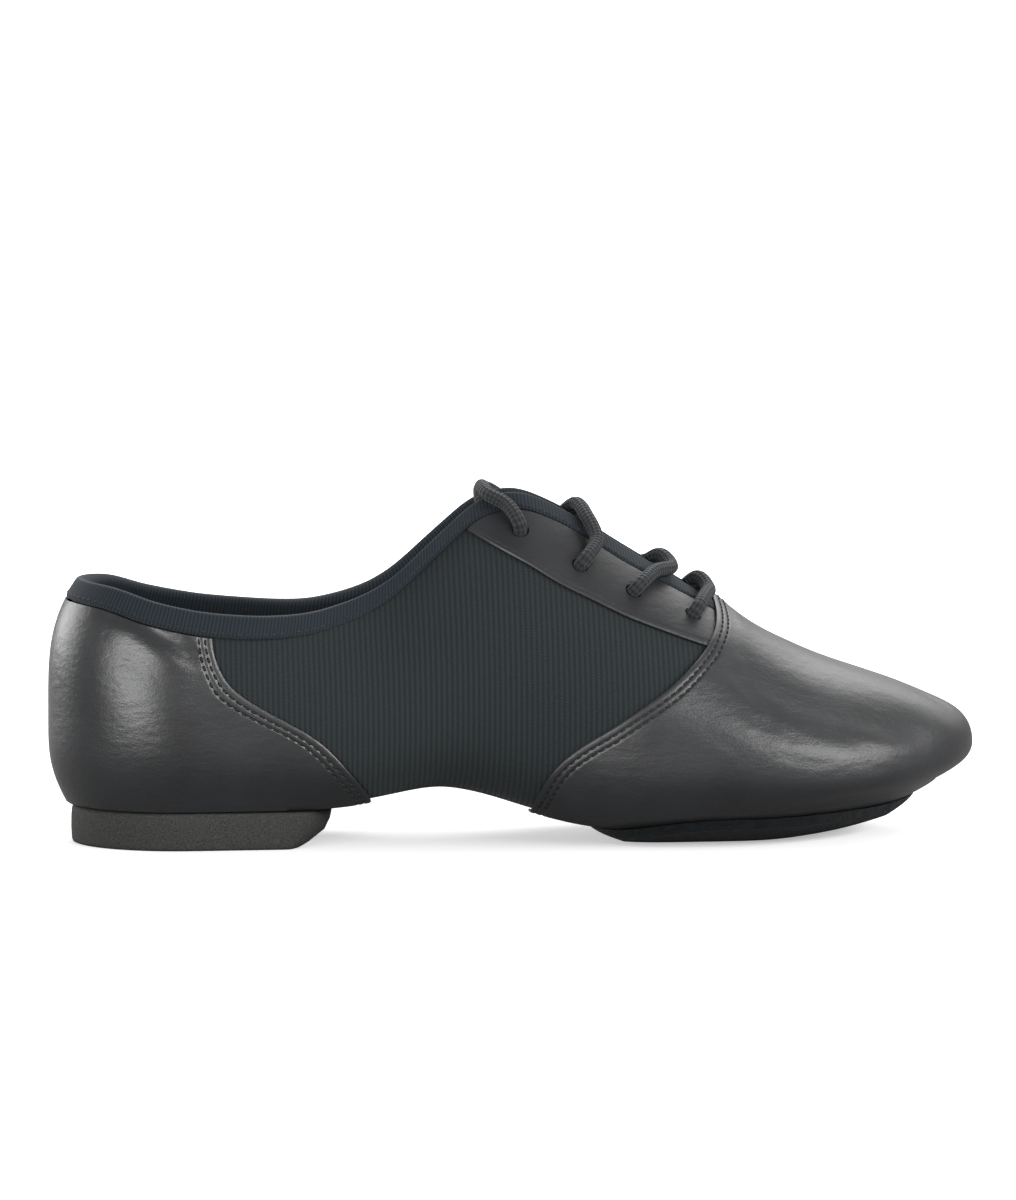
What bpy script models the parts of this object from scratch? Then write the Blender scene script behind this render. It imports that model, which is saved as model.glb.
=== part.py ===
"""Right shoe of a lace-up jazz pair with a split sole, standing empty on the floor.

Toe along +X, the wearer's inner (medial) side along +Y, +Z up, metres. The origin is the
middle of the shoe's box, on the floor.

Every piece is worked out from one form, the outer face of the stretch upper. A place on the
form is (along, side, girth, out): along runs from the heel's back (0) to the toe's tip (1),
side is LATERAL or MEDIAL, girth climbs the side of the foot, and out is the distance off it.
"""

import math

import bmesh
import bpy
import numpy as np
from mathutils import Vector

MM = 0.001

# Overall sizes
LENGTH = 250.0 * MM
BALL_BREADTH = 84.0 * MM
WAIST_BREADTH = 54.0 * MM
HEEL_BREADTH = 58.0 * MM
BACK_HEIGHT = 69.8 * MM
QUARTER_HEIGHT = 61.5 * MM
INSTEP_HEIGHT = 92.3 * MM
TOE_BOX_HEIGHT = 34.8 * MM
ARCH_HEIGHT = 14.9 * MM
TOE_SPRING = 9.8 * MM
TOE_SWING = 9.0 * MM

# Thicknesses and clearances
GAP = 0.3 * MM
WALL = 1.4 * MM
LEATHER = 0.9 * MM
TAPE = 1.0 * MM
INSOLE_THICKNESS = 1.8 * MM
TONGUE_THICKNESS = 1.2 * MM
HEEL_HEIGHT = 10.0 * MM
SOLE_THICKNESS = 3.0 * MM
LACE_RADIUS = 1.9 * MM

# Places along the shoe and widths of the trims
COLLAR_BACK = 8.8 * MM
RIDGE_END = 11.2 * MM
FEATHER_BACK = 5.8 * MM
FEATHER_FRONT = 10.5 * MM
COLLAR_HALF_BREADTH = 24.0 * MM
THROAT_END = 179.5 * MM
BINDING_END = 176.3 * MM
BINDING_OUTSIDE = 5.2 * MM
BINDING_INSIDE = 4.0 * MM
TONGUE_TOP = 114.0 * MM
TONGUE_ROOT = 188.0 * MM
TONGUE_OVERLAP = 14.0 * MM
HEEL_BREAST = 75.5 * MM
HEEL_UNDERCUT = 3.0 * MM
HEEL_BACK = 6.2 * MM
SOLE_BACK = 145.0 * MM
SOLE_FRONT = 234.0 * MM
SOLE_SKIVE = 8.0 * MM
INSOLE_MARGIN = 2.2 * MM
EYELET_RADIUS = 2.3 * MM

SKIN = GAP + LEATHER
LAP = 1.4 * GAP
SEAT = HEEL_HEIGHT + GAP + SKIN
TREAD = SOLE_THICKNESS + GAP + SKIN
LATERAL = -1
MEDIAL = 1
SIDES = (LATERAL, MEDIAL)

# Stations round the ends of the form: the share of the length over which each end closes
HEEL_ROUND = 0.13
TOE_ROUND = 0.18

# Openings under the soles: the shares of the length where they start and end, and how far their
# cutters reach below and above the form's underside
SEAT_OPENING = (0.045, 0.255)
TREAD_OPENING = (0.640, 0.900)
OPENING_BELOW = 6.0 * MM
OPENING_ABOVE = 9.0 * MM

# Stations between which the upper's ribs are evenly spaced, round the steep rise of the quarters
RISE_START = 0.38
RISE_END = 0.53

# Girth: the form runs 0 to 1 under the foot, 1 to 2 up to its widest line, 2 to 3 to the top line
SOLE_LINE = 0.0
FEATHER = 1.0
WIDEST = 2.0
TOP = 3.0
MARGIN = 0.45
RIB = (0.0, MARGIN, 0.78, FEATHER, 1.2, 1.42, 1.68, WIDEST, 2.28, 2.54, 2.75, 2.9, TOP)

# Widest line: along, lateral and medial half breadths, height as a share of the top line's
WIDEST_LINE = (
    (0.00, 0.500 * HEEL_BREADTH, 0.500 * HEEL_BREADTH, 0.530),
    (0.10, 0.500 * HEEL_BREADTH, 0.500 * HEEL_BREADTH, 0.525),
    (0.20, 0.490 * HEEL_BREADTH, 0.488 * HEEL_BREADTH, 0.500),
    (0.30, 0.520 * WAIST_BREADTH, 0.500 * WAIST_BREADTH, 0.478),
    (0.40, 0.530 * WAIST_BREADTH, 0.472 * WAIST_BREADTH, 0.440),
    (0.48, 0.575 * WAIST_BREADTH, 0.495 * WAIST_BREADTH, 0.405),
    (0.56, 0.425 * BALL_BREADTH, 0.370 * BALL_BREADTH, 0.380),
    (0.64, 0.484 * BALL_BREADTH, 0.424 * BALL_BREADTH, 0.362),
    (0.72, 0.508 * BALL_BREADTH, 0.462 * BALL_BREADTH, 0.356),
    (0.80, 0.505 * BALL_BREADTH, 0.466 * BALL_BREADTH, 0.378),
    (0.88, 0.452 * BALL_BREADTH, 0.425 * BALL_BREADTH, 0.440),
    (1.00, 0.360 * BALL_BREADTH, 0.330 * BALL_BREADTH, 0.675),
)

# Feather line: along, share of the half breadth, rise at the edge, degrees the side starts at
FEATHER_LINE = (
    (0.00, 0.80, 0.0 * MM, 62.0),
    (0.12, 0.81, 0.0 * MM, 62.0),
    (0.24, 0.80, 0.1 * MM, 60.0),
    (0.32, 0.77, 0.8 * MM, 50.0),
    (0.39, 0.70, 2.2 * MM, 38.0),
    (0.45, 0.66, 2.4 * MM, 32.0),
    (0.53, 0.70, 2.8 * MM, 30.0),
    (0.60, 0.77, 4.0 * MM, 34.0),
    (0.69, 0.82, 5.2 * MM, 40.0),
    (0.81, 0.83, 5.4 * MM, 42.0),
    (0.88, 0.83, 4.4 * MM, 40.0),
    (0.94, 0.82, 2.9 * MM, 36.0),
    (1.00, 0.80, 0.9 * MM, 30.0),
)

# Underside of the form: along, and how much of the seat, arch, tread and toe spring is in it
UNDERSIDE = (
    (0.000, 1.00, 0.000, 0.000, 0.00),
    (0.120, 1.00, 0.000, 0.000, 0.00),
    (0.240, 1.00, 0.000, 0.000, 0.00),
    (0.300, 0.95, 0.050, 0.000, 0.00),
    (0.331, 0.81, 0.190, 0.000, 0.00),
    (0.361, 0.53, 0.470, 0.000, 0.00),
    (0.391, 0.18, 0.820, 0.000, 0.00),
    (0.420, 0.00, 1.000, 0.000, 0.00),
    (0.450, 0.00, 0.920, 0.080, 0.00),
    (0.479, 0.00, 0.760, 0.240, 0.00),
    (0.508, 0.00, 0.560, 0.440, 0.00),
    (0.538, 0.00, 0.360, 0.640, 0.00),
    (0.573, 0.00, 0.170, 0.830, 0.00),
    (0.602, 0.00, 0.070, 0.930, 0.00),
    (0.647, 0.00, 0.005, 0.995, 0.00),
    (0.700, 0.00, 0.000, 1.000, 0.00),
    (0.760, 0.00, 0.000, 1.000, 0.00),
    (0.800, 0.00, 0.000, 1.000, 0.02),
    (0.846, 0.00, 0.000, 1.000, 0.12),
    (0.875, 0.00, 0.000, 1.000, 0.21),
    (0.920, 0.00, 0.000, 1.000, 0.41),
    (0.955, 0.00, 0.000, 1.000, 0.61),
    (1.000, 0.00, 0.000, 1.000, 1.00),
)

# Top line of the collar and throat: along, how much of the back, quarter, instep and toe height
# is in it, share of the collar's half breadth, degrees it leans in, fullness of the side
TOP_LINE = (
    (0.000, 1.00, 0.00, 0.000, 0.000, 1.00, 56.0, 0.42),
    (0.038, 0.87, 0.13, 0.000, 0.000, 1.00, 61.0, 0.42),
    (0.071, 0.57, 0.43, 0.000, 0.000, 1.00, 67.0, 0.42),
    (0.104, 0.34, 0.66, 0.000, 0.000, 1.00, 71.0, 0.42),
    (0.137, 0.17, 0.83, 0.000, 0.000, 1.00, 74.0, 0.42),
    (0.170, 0.07, 0.93, 0.000, 0.000, 0.99, 75.0, 0.42),
    (0.203, 0.01, 0.99, 0.000, 0.000, 0.94, 74.0, 0.42),
    (0.236, 0.00, 1.00, 0.000, 0.000, 0.82, 71.0, 0.41),
    (0.269, 0.00, 0.98, 0.020, 0.000, 0.67, 66.0, 0.41),
    (0.302, 0.00, 0.92, 0.080, 0.000, 0.54, 60.0, 0.40),
    (0.335, 0.00, 0.83, 0.170, 0.000, 0.44, 56.0, 0.39),
    (0.368, 0.00, 0.68, 0.320, 0.000, 0.37, 52.0, 0.38),
    (0.400, 0.00, 0.47, 0.530, 0.000, 0.32, 48.0, 0.37),
    (0.434, 0.00, 0.24, 0.760, 0.000, 0.28, 44.0, 0.37),
    (0.457, 0.00, 0.10, 0.900, 0.000, 0.25, 42.0, 0.36),
    (0.482, 0.00, 0.02, 0.980, 0.000, 0.23, 40.0, 0.36),
    (0.508, 0.00, 0.00, 0.997, 0.003, 0.22, 38.0, 0.36),
    (0.539, 0.00, 0.00, 0.955, 0.045, 0.21, 35.0, 0.36),
    (0.578, 0.00, 0.00, 0.871, 0.129, 0.20, 31.0, 0.37),
    (0.613, 0.00, 0.00, 0.781, 0.219, 0.20, 27.0, 0.38),
    (0.659, 0.00, 0.00, 0.666, 0.334, 0.19, 21.0, 0.40),
    (0.704, 0.00, 0.00, 0.555, 0.445, 0.18, 14.0, 0.43),
    (0.745, 0.00, 0.00, 0.452, 0.548, 0.17, 10.0, 0.46),
)

# Ridge of the closed toe: along, how much of the instep and toe height is in it, fullness
RIDGE = (
    (0.725, 0.515, 0.485, 0.45),
    (0.760, 0.421, 0.579, 0.48),
    (0.790, 0.347, 0.653, 0.50),
    (0.820, 0.281, 0.719, 0.52),
    (0.848, 0.228, 0.772, 0.53),
    (0.877, 0.182, 0.818, 0.54),
    (0.906, 0.143, 0.857, 0.54),
    (0.936, 0.103, 0.897, 0.55),
    (0.965, 0.060, 0.940, 0.56),
    (1.000, 0.000, 1.000, 0.57),
)

# Swing of the shoe's middle line to the medial side: along, share of the toe's swing
SWING = ((0.00, 0.0), (0.25, 0.0), (0.50, 0.0), (0.62, 0.06), (0.75, 0.26), (0.88, 0.60), (1.00, 1.0))

# Raw edge of the vamp's leather: share of the instep height, share of the length
VAMP_EDGE = (
    (0.04, 0.510),
    (0.12, 0.512),
    (0.18, 0.520),
    (0.25, 0.536),
    (0.31, 0.562),
    (0.36, 0.591),
    (0.42, 0.625),
    (0.47, 0.653),
    (0.53, 0.680),
    (0.58, 0.698),
    (0.64, 0.709),
    (0.70, 0.710),
)

# Raw edge of the counter's leather: share of the back height, share of the length
COUNTER_EDGE = (
    (0.10, 0.348),
    (0.20, 0.338),
    (0.29, 0.319),
    (0.38, 0.296),
    (0.45, 0.272),
    (0.51, 0.242),
    (0.56, 0.217),
    (0.62, 0.193),
    (0.69, 0.178),
    (0.76, 0.171),
    (0.88, 0.169),
)

# Lower seam of an eyestay: share of the length, depth below the throat's edge
EYESTAY_SEAM = (
    (0.446, 5.4 * MM),
    (0.457, 10.2 * MM),
    (0.470, 14.8 * MM),
    (0.489, 19.8 * MM),
    (0.510, 23.4 * MM),
    (0.534, 25.9 * MM),
    (0.572, 27.2 * MM),
    (0.603, 27.5 * MM),
    (0.635, 27.2 * MM),
    (0.678, 26.5 * MM),
    (0.720, 24.6 * MM),
)

# Eyelets from the top down, and the lace strand that leaves each: share of the length, depth
# below the edge, then how far towards the toe the strand has gone half way up the eyestay, at
# the edge, over the gap's middle, and where it ends on the other side
EYELETS = (
    (0.500, 12.4 * MM, -3.0 * MM, -7.6 * MM, -8.6 * MM, -9.6 * MM),
    (0.559, 17.8 * MM, 3.2 * MM, 3.0 * MM, 0.4 * MM, -3.0 * MM),
    (0.614, 17.7 * MM, 7.0 * MM, 12.0 * MM, 9.6 * MM, 5.4 * MM),
    (0.677, 15.9 * MM, 4.0 * MM, 5.2 * MM, 3.2 * MM, 0.6 * MM),
)


class Curve:
    """A smooth curve (natural cubic) through one column of a table, read at its first column."""

    def __init__(self, table, column):
        self.x = np.array([row[0] for row in table])
        self.y = np.array([row[column] for row in table])
        n = len(table)
        step = np.diff(self.x)
        slope = np.diff(self.y) / step
        system = np.eye(n)
        right = np.zeros(n)
        for i in range(1, n - 1):
            system[i, i - 1 : i + 2] = step[i - 1], 2 * (step[i - 1] + step[i]), step[i]
            right[i] = 6 * (slope[i] - slope[i - 1])
        self.bend = np.linalg.solve(system, right)

    def __call__(self, at):
        at = min(max(at, self.x[0]), self.x[-1])
        i = min(max(int(np.searchsorted(self.x, at)) - 1, 0), len(self.x) - 2)
        h = self.x[i + 1] - self.x[i]
        a = (self.x[i + 1] - at) / h
        b = 1 - a
        curved = ((a**3 - a) * self.bend[i] + (b**3 - b) * self.bend[i + 1]) * h * h / 6
        return float(a * self.y[i] + b * self.y[i + 1] + curved)


half_breadth = {LATERAL: Curve(WIDEST_LINE, 1), MEDIAL: Curve(WIDEST_LINE, 2)}
widest_share = Curve(WIDEST_LINE, 3)
feather_share, feather_rise, feather_angle = (Curve(FEATHER_LINE, c) for c in (1, 2, 3))
underside_mix = [Curve(UNDERSIDE, c) for c in (1, 2, 3, 4)]
top_mix = [Curve(TOP_LINE, c) for c in (1, 2, 3, 4)]
collar_share, top_lean, top_fullness = (Curve(TOP_LINE, c) for c in (5, 6, 7))
ridge_mix = [Curve(RIDGE, c) for c in (1, 2)]
ridge_fullness = Curve(RIDGE, 3)
swing_share = Curve(SWING, 1)
vamp_edge = Curve(VAMP_EDGE, 1)
counter_edge = Curve(COUNTER_EDGE, 1)
eyestay_seam = Curve(EYESTAY_SEAM, 1)


def mixed(curves, sizes, along):
    """A size blended from several named sizes."""
    return sum(curve(along) * size for curve, size in zip(curves, sizes))


def middle(along):
    """The shoe's middle line in plan."""
    return TOE_SWING * swing_share(along)


def end_round(along):
    """1 along the shoe, falling to 0 in a round heel and a round toe."""
    back = max(0.0, 1 - along / HEEL_ROUND)
    front = max(0.0, (along - 1 + TOE_ROUND) / TOE_ROUND)
    return math.sqrt(max(0.0, 1 - back * back)) * math.sqrt(max(0.0, 1 - front * front))


def form_x(back, front, along):
    """Where a line of the form is along the shoe, when it starts and ends inside the length."""
    return back + (LENGTH - front - back) * along


def along_of(x, back, front):
    return (x - back) / (LENGTH - front - back)


def underside(along):
    """Height of the form's underside at its middle."""
    return mixed(underside_mix, (SEAT, ARCH_HEIGHT, TREAD, TOE_SPRING), along)


def top_x(along):
    return form_x(COLLAR_BACK, RIDGE_END, along)


# The last open station of the throat, and the first where the ridge is closed
THROAT_SHARE = along_of(THROAT_END, COLLAR_BACK, RIDGE_END)
THROAT_STATIONS = (THROAT_SHARE - 1e-6, THROAT_SHARE + 0.012)


def is_open(along):
    """True where the collar and throat leave the form open on top."""
    return top_x(along) <= THROAT_END


def top_height(along):
    if is_open(along):
        return mixed(top_mix, (BACK_HEIGHT, QUARTER_HEIGHT, INSTEP_HEIGHT, TOE_BOX_HEIGHT), along)
    return mixed(ridge_mix, (INSTEP_HEIGHT, TOE_BOX_HEIGHT), along)


def top_slope(along):
    step = 0.003
    low, high = max(0.0, along - step), min(1.0, along + step)
    if is_open(low) != is_open(along):
        low = along
    if is_open(high) != is_open(along):
        high = along
    return (top_height(high) - top_height(low)) / (top_x(high) - top_x(low))


def crown(share):
    """How the underside curves up from its flat middle to the feather line."""
    return max(0.0, (share - 0.45) / 0.55) ** 2


def feather_half(along, side):
    return half_breadth[side](along) * feather_share(along) * end_round(along)


def key_points(along, side):
    """Feather, widest and top points of the form's rib at this station."""
    y = middle(along)
    rounding = end_round(along)
    widest_half = half_breadth[side](along) * rounding
    feather = Vector(
        (
            form_x(FEATHER_BACK, FEATHER_FRONT, along),
            y + side * feather_half(along, side),
            underside(along) + feather_rise(along),
        )
    )
    height = top_height(along)
    widest = Vector((form_x(SKIN, SKIN, along), y + side * widest_half, widest_share(along) * height))
    top_half = 0.0
    if is_open(along):
        top_half = collar_share(along) * COLLAR_HALF_BREADTH * rounding
    top = Vector((top_x(along), y + side * top_half, height))
    return feather, widest, top


def bezier(a, b, c, d, t):
    s = 1 - t
    return a * (s**3) + b * (3 * s * s * t) + c * (3 * s * t * t) + d * (t**3)


def flat_direction(start, end, side):
    """Level unit vector from start towards end."""
    run = Vector((end.x - start.x, end.y - start.y, 0.0))
    return run.normalized() if run.length > 1e-9 else Vector((0.0, side, 0.0))


def base_point(along, side, girth):
    """A point of the form's own surface."""
    feather, widest, top = key_points(along, side)
    if girth <= FEATHER:
        y = middle(along) + (feather.y - middle(along)) * girth
        return Vector((feather.x, y, underside(along) + feather_rise(along) * crown(girth)))
    if girth <= WIDEST:
        angle = math.radians(feather_angle(along))
        outward = flat_direction(feather, widest, side)
        reach = 0.42 * (widest - feather).length
        low = feather + reach * (outward * math.cos(angle) + Vector((0, 0, math.sin(angle))))
        high = widest - Vector((0, 0, 0.46 * (widest.z - feather.z)))
        return bezier(feather, low, high, widest, girth - FEATHER)
    lean = math.radians(top_lean(along)) if is_open(along) else 0.0
    outward = flat_direction(top, widest, side)
    rise = top.z - widest.z
    run = math.hypot(widest.x - top.x, widest.y - top.y)
    full = top_fullness(along) if is_open(along) else ridge_fullness(along)
    reach = full * (run * math.cos(lean) + rise * math.sin(lean))
    tilt = top_slope(along) * outward.x * math.cos(lean)
    pull = outward * math.cos(lean) + Vector((0, 0, tilt - math.sin(lean)))
    return bezier(widest, widest + Vector((0, 0, full * rise)), top + reach * pull, top, girth - WIDEST)


def form_normal(along, side, girth):
    """Outward unit normal of the form."""
    if girth >= TOP and not is_open(along):
        return Vector((-top_slope(along), 0.0, 1.0)).normalized()
    step = 1e-4
    a, b = max(0.0, along - step), min(1.0, along + step)
    if is_open(a) != is_open(b):
        a, b = (a, along) if is_open(a) == is_open(along) else (along, b)
    low, high = max(SOLE_LINE, girth - 0.01), min(TOP, girth + 0.01)
    lengthwise = base_point(b, side, girth) - base_point(a, side, girth)
    upward = base_point(along, side, high) - base_point(along, side, low)
    normal = lengthwise.cross(upward) * -side
    if along in (0.0, 1.0) or girth == SOLE_LINE:
        normal.y = 0.0
    return normal.normalized()


def place(along, side, girth, out=0.0):
    """A point off the form's surface."""
    return base_point(along, side, girth) + form_normal(along, side, girth) * out


def girth_below(along, side, depth):
    """The girth that lies this far below the top line, measured down the form."""
    steps = 60
    fallen, last = 0.0, base_point(along, side, TOP)
    for i in range(1, steps + 1):
        girth = TOP - 2.0 * i / steps
        point = base_point(along, side, girth)
        run = (point - last).length
        if fallen + run >= depth:
            return girth + 2.0 / steps * (fallen + run - depth) / run
        fallen, last = fallen + run, point
    return FEATHER


def along_at_edge(edge, height, side, girth):
    """The station where a leather's raw edge crosses the form at this girth."""
    along = edge(0.5)
    for _ in range(12):
        point = base_point(along, side, girth)
        along += 0.8 * (edge(point.z / height) - point.x / LENGTH)
    return along


def ground_height(x, y):
    """Height of the form's underside over a point of the floor."""
    along = min(max(along_of(x, FEATHER_BACK, FEATHER_FRONT), 0.0), 1.0)
    side = MEDIAL if y > middle(along) else LATERAL
    half = max(feather_half(along, side), 1e-6)
    share = min(1.0, abs(y - middle(along)) / half)
    return underside(along) + feather_rise(along) * crown(share)


def clear_height(x, y, distance):
    """Height over a point of the floor that keeps this distance from the form's underside."""
    step = 0.5 * MM
    rise_x = ground_height(x + step, y) - ground_height(x - step, y)
    rise_y = ground_height(x, y + step) - ground_height(x, y - step)
    return ground_height(x, y) + distance * math.hypot(1.0, rise_x / (2 * step), rise_y / (2 * step))


def lasted_margin(along):
    """Girth where a lasted leather ends underneath: it covers the whole tip and the heel's back."""
    from_end = min(along, 1 - along)
    return MARGIN * math.sqrt(min(1.0, max(0.0, (from_end - 0.035) / 0.05)))


class Sheet:
    """A piece of even build: a sheet of faces whose every corner has an outer and an inner place."""

    def __init__(self):
        self.index, self.outer, self.inner, self.faces = {}, [], [], []

    def corner(self, outer, inner):
        key = tuple(round(c / (0.01 * MM)) for c in outer)
        if key not in self.index:
            self.index[key] = len(self.outer)
            self.outer.append(outer)
            self.inner.append(inner)
        return self.index[key]

    def grid(self, rows):
        """Adds a grid of (outer, inner) pairs."""
        ids = [[self.corner(*pair) for pair in row] for row in rows]
        for low, high in zip(ids, ids[1:]):
            for j in range(len(low) - 1):
                face = []
                for corner in (low[j], low[j + 1], high[j + 1], high[j]):
                    if corner not in face:
                        face.append(corner)
                if len(face) > 2:
                    self.faces.append(face)

    def solid(self, name, material):
        count = len(self.outer)
        edges = {}
        for face in self.faces:
            for a, b in zip(face, face[1:] + face[:1]):
                edges.setdefault(frozenset((a, b)), []).append((a, b))
        rims = [uses[0] for uses in edges.values() if len(uses) == 1]
        faces = list(self.faces)
        faces += [[c + count for c in reversed(face)] for face in self.faces]
        faces += [[b, a, a + count, b + count] for a, b in rims]
        return new_object(name, self.outer + self.inner, faces, material)


def new_object(name, points, faces, material):
    mesh = bpy.data.meshes.new(name)
    mesh.from_pydata([tuple(p) for p in points], [], faces)
    work = bmesh.new()
    work.from_mesh(mesh)
    bmesh.ops.triangulate(work, faces=work.faces)
    bmesh.ops.recalc_face_normals(work, faces=work.faces)
    work.to_mesh(mesh)
    work.free()
    mesh.shade_smooth()
    mesh.set_sharp_from_angle(angle=math.radians(40))
    obj = bpy.data.objects.new(name, mesh)
    bpy.context.scene.collection.objects.link(obj)
    if material:
        mesh.materials.append(material)
    else:
        obj.hide_render = True
        obj.display_type = "WIRE"
    return obj


def finish(name, colour, roughness):
    """A plain material for one piece."""
    material = bpy.data.materials.new(name)
    material.use_nodes = True
    shader = material.node_tree.nodes["Principled BSDF"]
    shader.inputs["Base Color"].default_value = (*colour, 1.0)
    shader.inputs["Roughness"].default_value = roughness
    return material


def modify(obj, other, operation):
    boolean = obj.modifiers.new(f"{operation.lower()} {other.name}", "BOOLEAN")
    boolean.object = other
    boolean.operation = operation
    boolean.solver = "EXACT"


def stations(count, start=0.0, end=1.0, ease_start=True, ease_end=True):
    """Stations from start to end, closer together at an end that is eased."""
    shares = [i / (count - 1) for i in range(count)]
    if ease_start and ease_end:
        shares = [0.5 - 0.5 * math.cos(math.pi * s) for s in shares]
    elif ease_start:
        shares = [1 - math.cos(0.5 * math.pi * s) for s in shares]
    elif ease_end:
        shares = [math.sin(0.5 * math.pi * s) for s in shares]
    return [start + (end - start) * s for s in shares]


def sleeve(along, girths, side, out_outer, out_inner):
    """One row of a sheet that lies on the form."""
    return [(place(along, side, g, out_outer), place(along, side, g, out_inner)) for g in girths]


def make_upper():
    """Stretch upper: the whole form as one wall, open at collar and throat and under the soles."""
    alongs = stations(18, 0.0, RISE_START, ease_end=False)
    alongs += stations(7, RISE_START, RISE_END, False, False)[1:]
    alongs += stations(7, RISE_END, THROAT_STATIONS[0], False, False)[1:]
    alongs += stations(15, THROAT_STATIONS[1], 1.0, ease_start=False)
    sheet = Sheet()
    for side in SIDES:
        sheet.grid([sleeve(along, RIB, side, 0.0, -WALL) for along in alongs])
    upper = sheet.solid("upper", finish("stretch fabric", (0.025, 0.029, 0.032), 0.85))
    modify(upper, make_plug("heel seat opening", *SEAT_OPENING, SEAT), "DIFFERENCE")
    modify(upper, make_plug("tread opening", *TREAD_OPENING, TREAD), "DIFFERENCE")
    for number, side, along, depth in eyelets():
        modify(upper, make_punch(f"upper punch {number} {side}", along, side, depth), "DIFFERENCE")
    return upper


def make_plug(name, start, end, floor):
    """Cutter for an opening that a sole closes, well inside the leather's lasted margin."""
    outline = []
    turns = 28
    for i in range(turns):
        angle = 2 * math.pi * i / turns
        along = 0.5 * (start + end) - 0.5 * (end - start) * math.cos(angle)
        side = MEDIAL if math.sin(angle) > 0 else LATERAL
        reach = 0.40 * feather_half(along, side) * abs(math.sin(angle)) ** 0.7
        outline.append((form_x(FEATHER_BACK, FEATHER_FRONT, along), middle(along) + side * reach))
    low, high = floor - OPENING_BELOW, floor + OPENING_ABOVE
    points = [Vector((x, y, z)) for z in (low, high) for x, y in outline]
    sides = [[i, (i + 1) % turns, (i + 1) % turns + turns, i + turns] for i in range(turns)]
    caps = [list(range(turns)), list(range(2 * turns - 1, turns - 1, -1))]
    return new_object(name, points, sides + caps, None)


def eyelets():
    """Number, side, station and depth of each eyelet."""
    for number, row in enumerate(EYELETS, start=1):
        for side in SIDES:
            yield number, side, along_of(row[0] * LENGTH, COLLAR_BACK, RIDGE_END), row[1]


def make_punch(name, along, side, depth):
    """Cutter for one punched eyelet."""
    girth = girth_below(along, side, depth)
    centre = place(along, side, girth)
    normal = form_normal(along, side, girth)
    turn = normal.to_track_quat("Z", "Y")
    corners = 12
    points = []
    for reach in (-WALL - 1.5 * MM, SKIN + 3 * MM):
        for i in range(corners):
            angle = 2 * math.pi * i / corners
            ring = Vector((math.cos(angle), math.sin(angle), 0)) * EYELET_RADIUS
            points.append(centre + turn @ ring + normal * reach)
    sides = [[i, (i + 1) % corners, (i + 1) % corners + corners, i + corners] for i in range(corners)]
    caps = [list(range(corners)), list(range(2 * corners - 1, corners - 1, -1))]
    return new_object(name, points, sides + caps, None)


def make_vamp():
    """Leather toe piece, lasted over the form from its raw edge to the tip and under the foot."""
    leather = finish("vamp leather", (0.030, 0.031, 0.032), 0.42)
    girths = RIB[RIB.index(MARGIN) :]
    sheet = Sheet()
    for side in SIDES:
        columns = []
        for girth in girths:
            start = along_at_edge(vamp_edge, INSTEP_HEIGHT, side, max(girth, FEATHER))
            lead = max(0.0, THROAT_STATIONS[0] - start)
            bridge = max(start, THROAT_STATIONS[1])
            alongs = [start + lead * share for share in stations(7, 0.0, 1.0, False, False)]
            alongs += [bridge + (1 - bridge) * share for share in stations(13, ease_start=False)]
            column = []
            for along in alongs:
                at = lasted_margin(along) if girth == MARGIN else girth
                column.append((place(along, side, at, SKIN), place(along, side, at, LAP)))
            columns.append(column)
        sheet.grid(columns)
    return sheet.solid("vamp", leather)


def make_counter():
    """Leather heel piece, from its raw edge round the heel's back, up to the binding."""
    leather = finish("counter leather", (0.030, 0.031, 0.032), 0.42)
    girths = [girth for girth in RIB if MARGIN <= girth < 2.85]
    sheet = Sheet()
    for side in SIDES:
        edges = [along_at_edge(counter_edge, BACK_HEIGHT, side, max(g, FEATHER)) for g in girths]
        rows = []
        for share in stations(17, ease_end=False):
            row = []
            for girth, edge in zip(girths, edges):
                along = edge * share
                girth = lasted_margin(along) if girth == MARGIN else girth
                row.append((place(along, side, girth, SKIN), place(along, side, girth, LAP)))
            along, girth = edges[-1] * share, TOP
            for _ in range(4):
                girth = girth_below(along, side, BINDING_OUTSIDE + 2 * GAP)
                along = share * along_at_edge(counter_edge, BACK_HEIGHT, side, girth)
            row.append((place(along, side, girth, SKIN), place(along, side, girth, LAP)))
            rows.append(row)
        sheet.grid(rows)
    return sheet.solid("counter", leather)


def make_eyestay(side, name):
    """Leather facing along one side of the throat, from the binding down to its lower seam."""
    leather = finish(f"{name} leather", (0.036, 0.037, 0.038), 0.45)
    start = EYESTAY_SEAM[0][0] + 0.004
    sheet = Sheet()
    rows = []
    for share in stations(13, ease_start=False, ease_end=False):
        row = []
        for climb in (0.0, 0.2, 0.42, 0.7, 1.0):
            x = start
            for _ in range(6):
                along = along_of(x * LENGTH, COLLAR_BACK, RIDGE_END)
                top = BINDING_OUTSIDE + 2 * GAP
                depth = top + max(0.3 * MM, eyestay_seam(x) - top) * climb
                girth = girth_below(along, side, depth)
                point = base_point(along, side, girth)
                end = vamp_edge(point.z / INSTEP_HEIGHT) - (point.x - x * LENGTH + 1.6 * MM) / LENGTH
                x = start + (min(end, (THROAT_END - 1 * MM) / LENGTH) - start) * share
            row.append((place(along, side, girth, SKIN), place(along, side, girth, LAP)))
        rows.append(row)
    sheet.grid(rows)
    eyestay = sheet.solid(name, leather)
    for number, punch_side, along, depth in eyelets():
        if punch_side == side:
            modify(eyestay, make_punch(f"{name} punch {number}", along, side, depth), "DIFFERENCE")
    return eyestay


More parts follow.
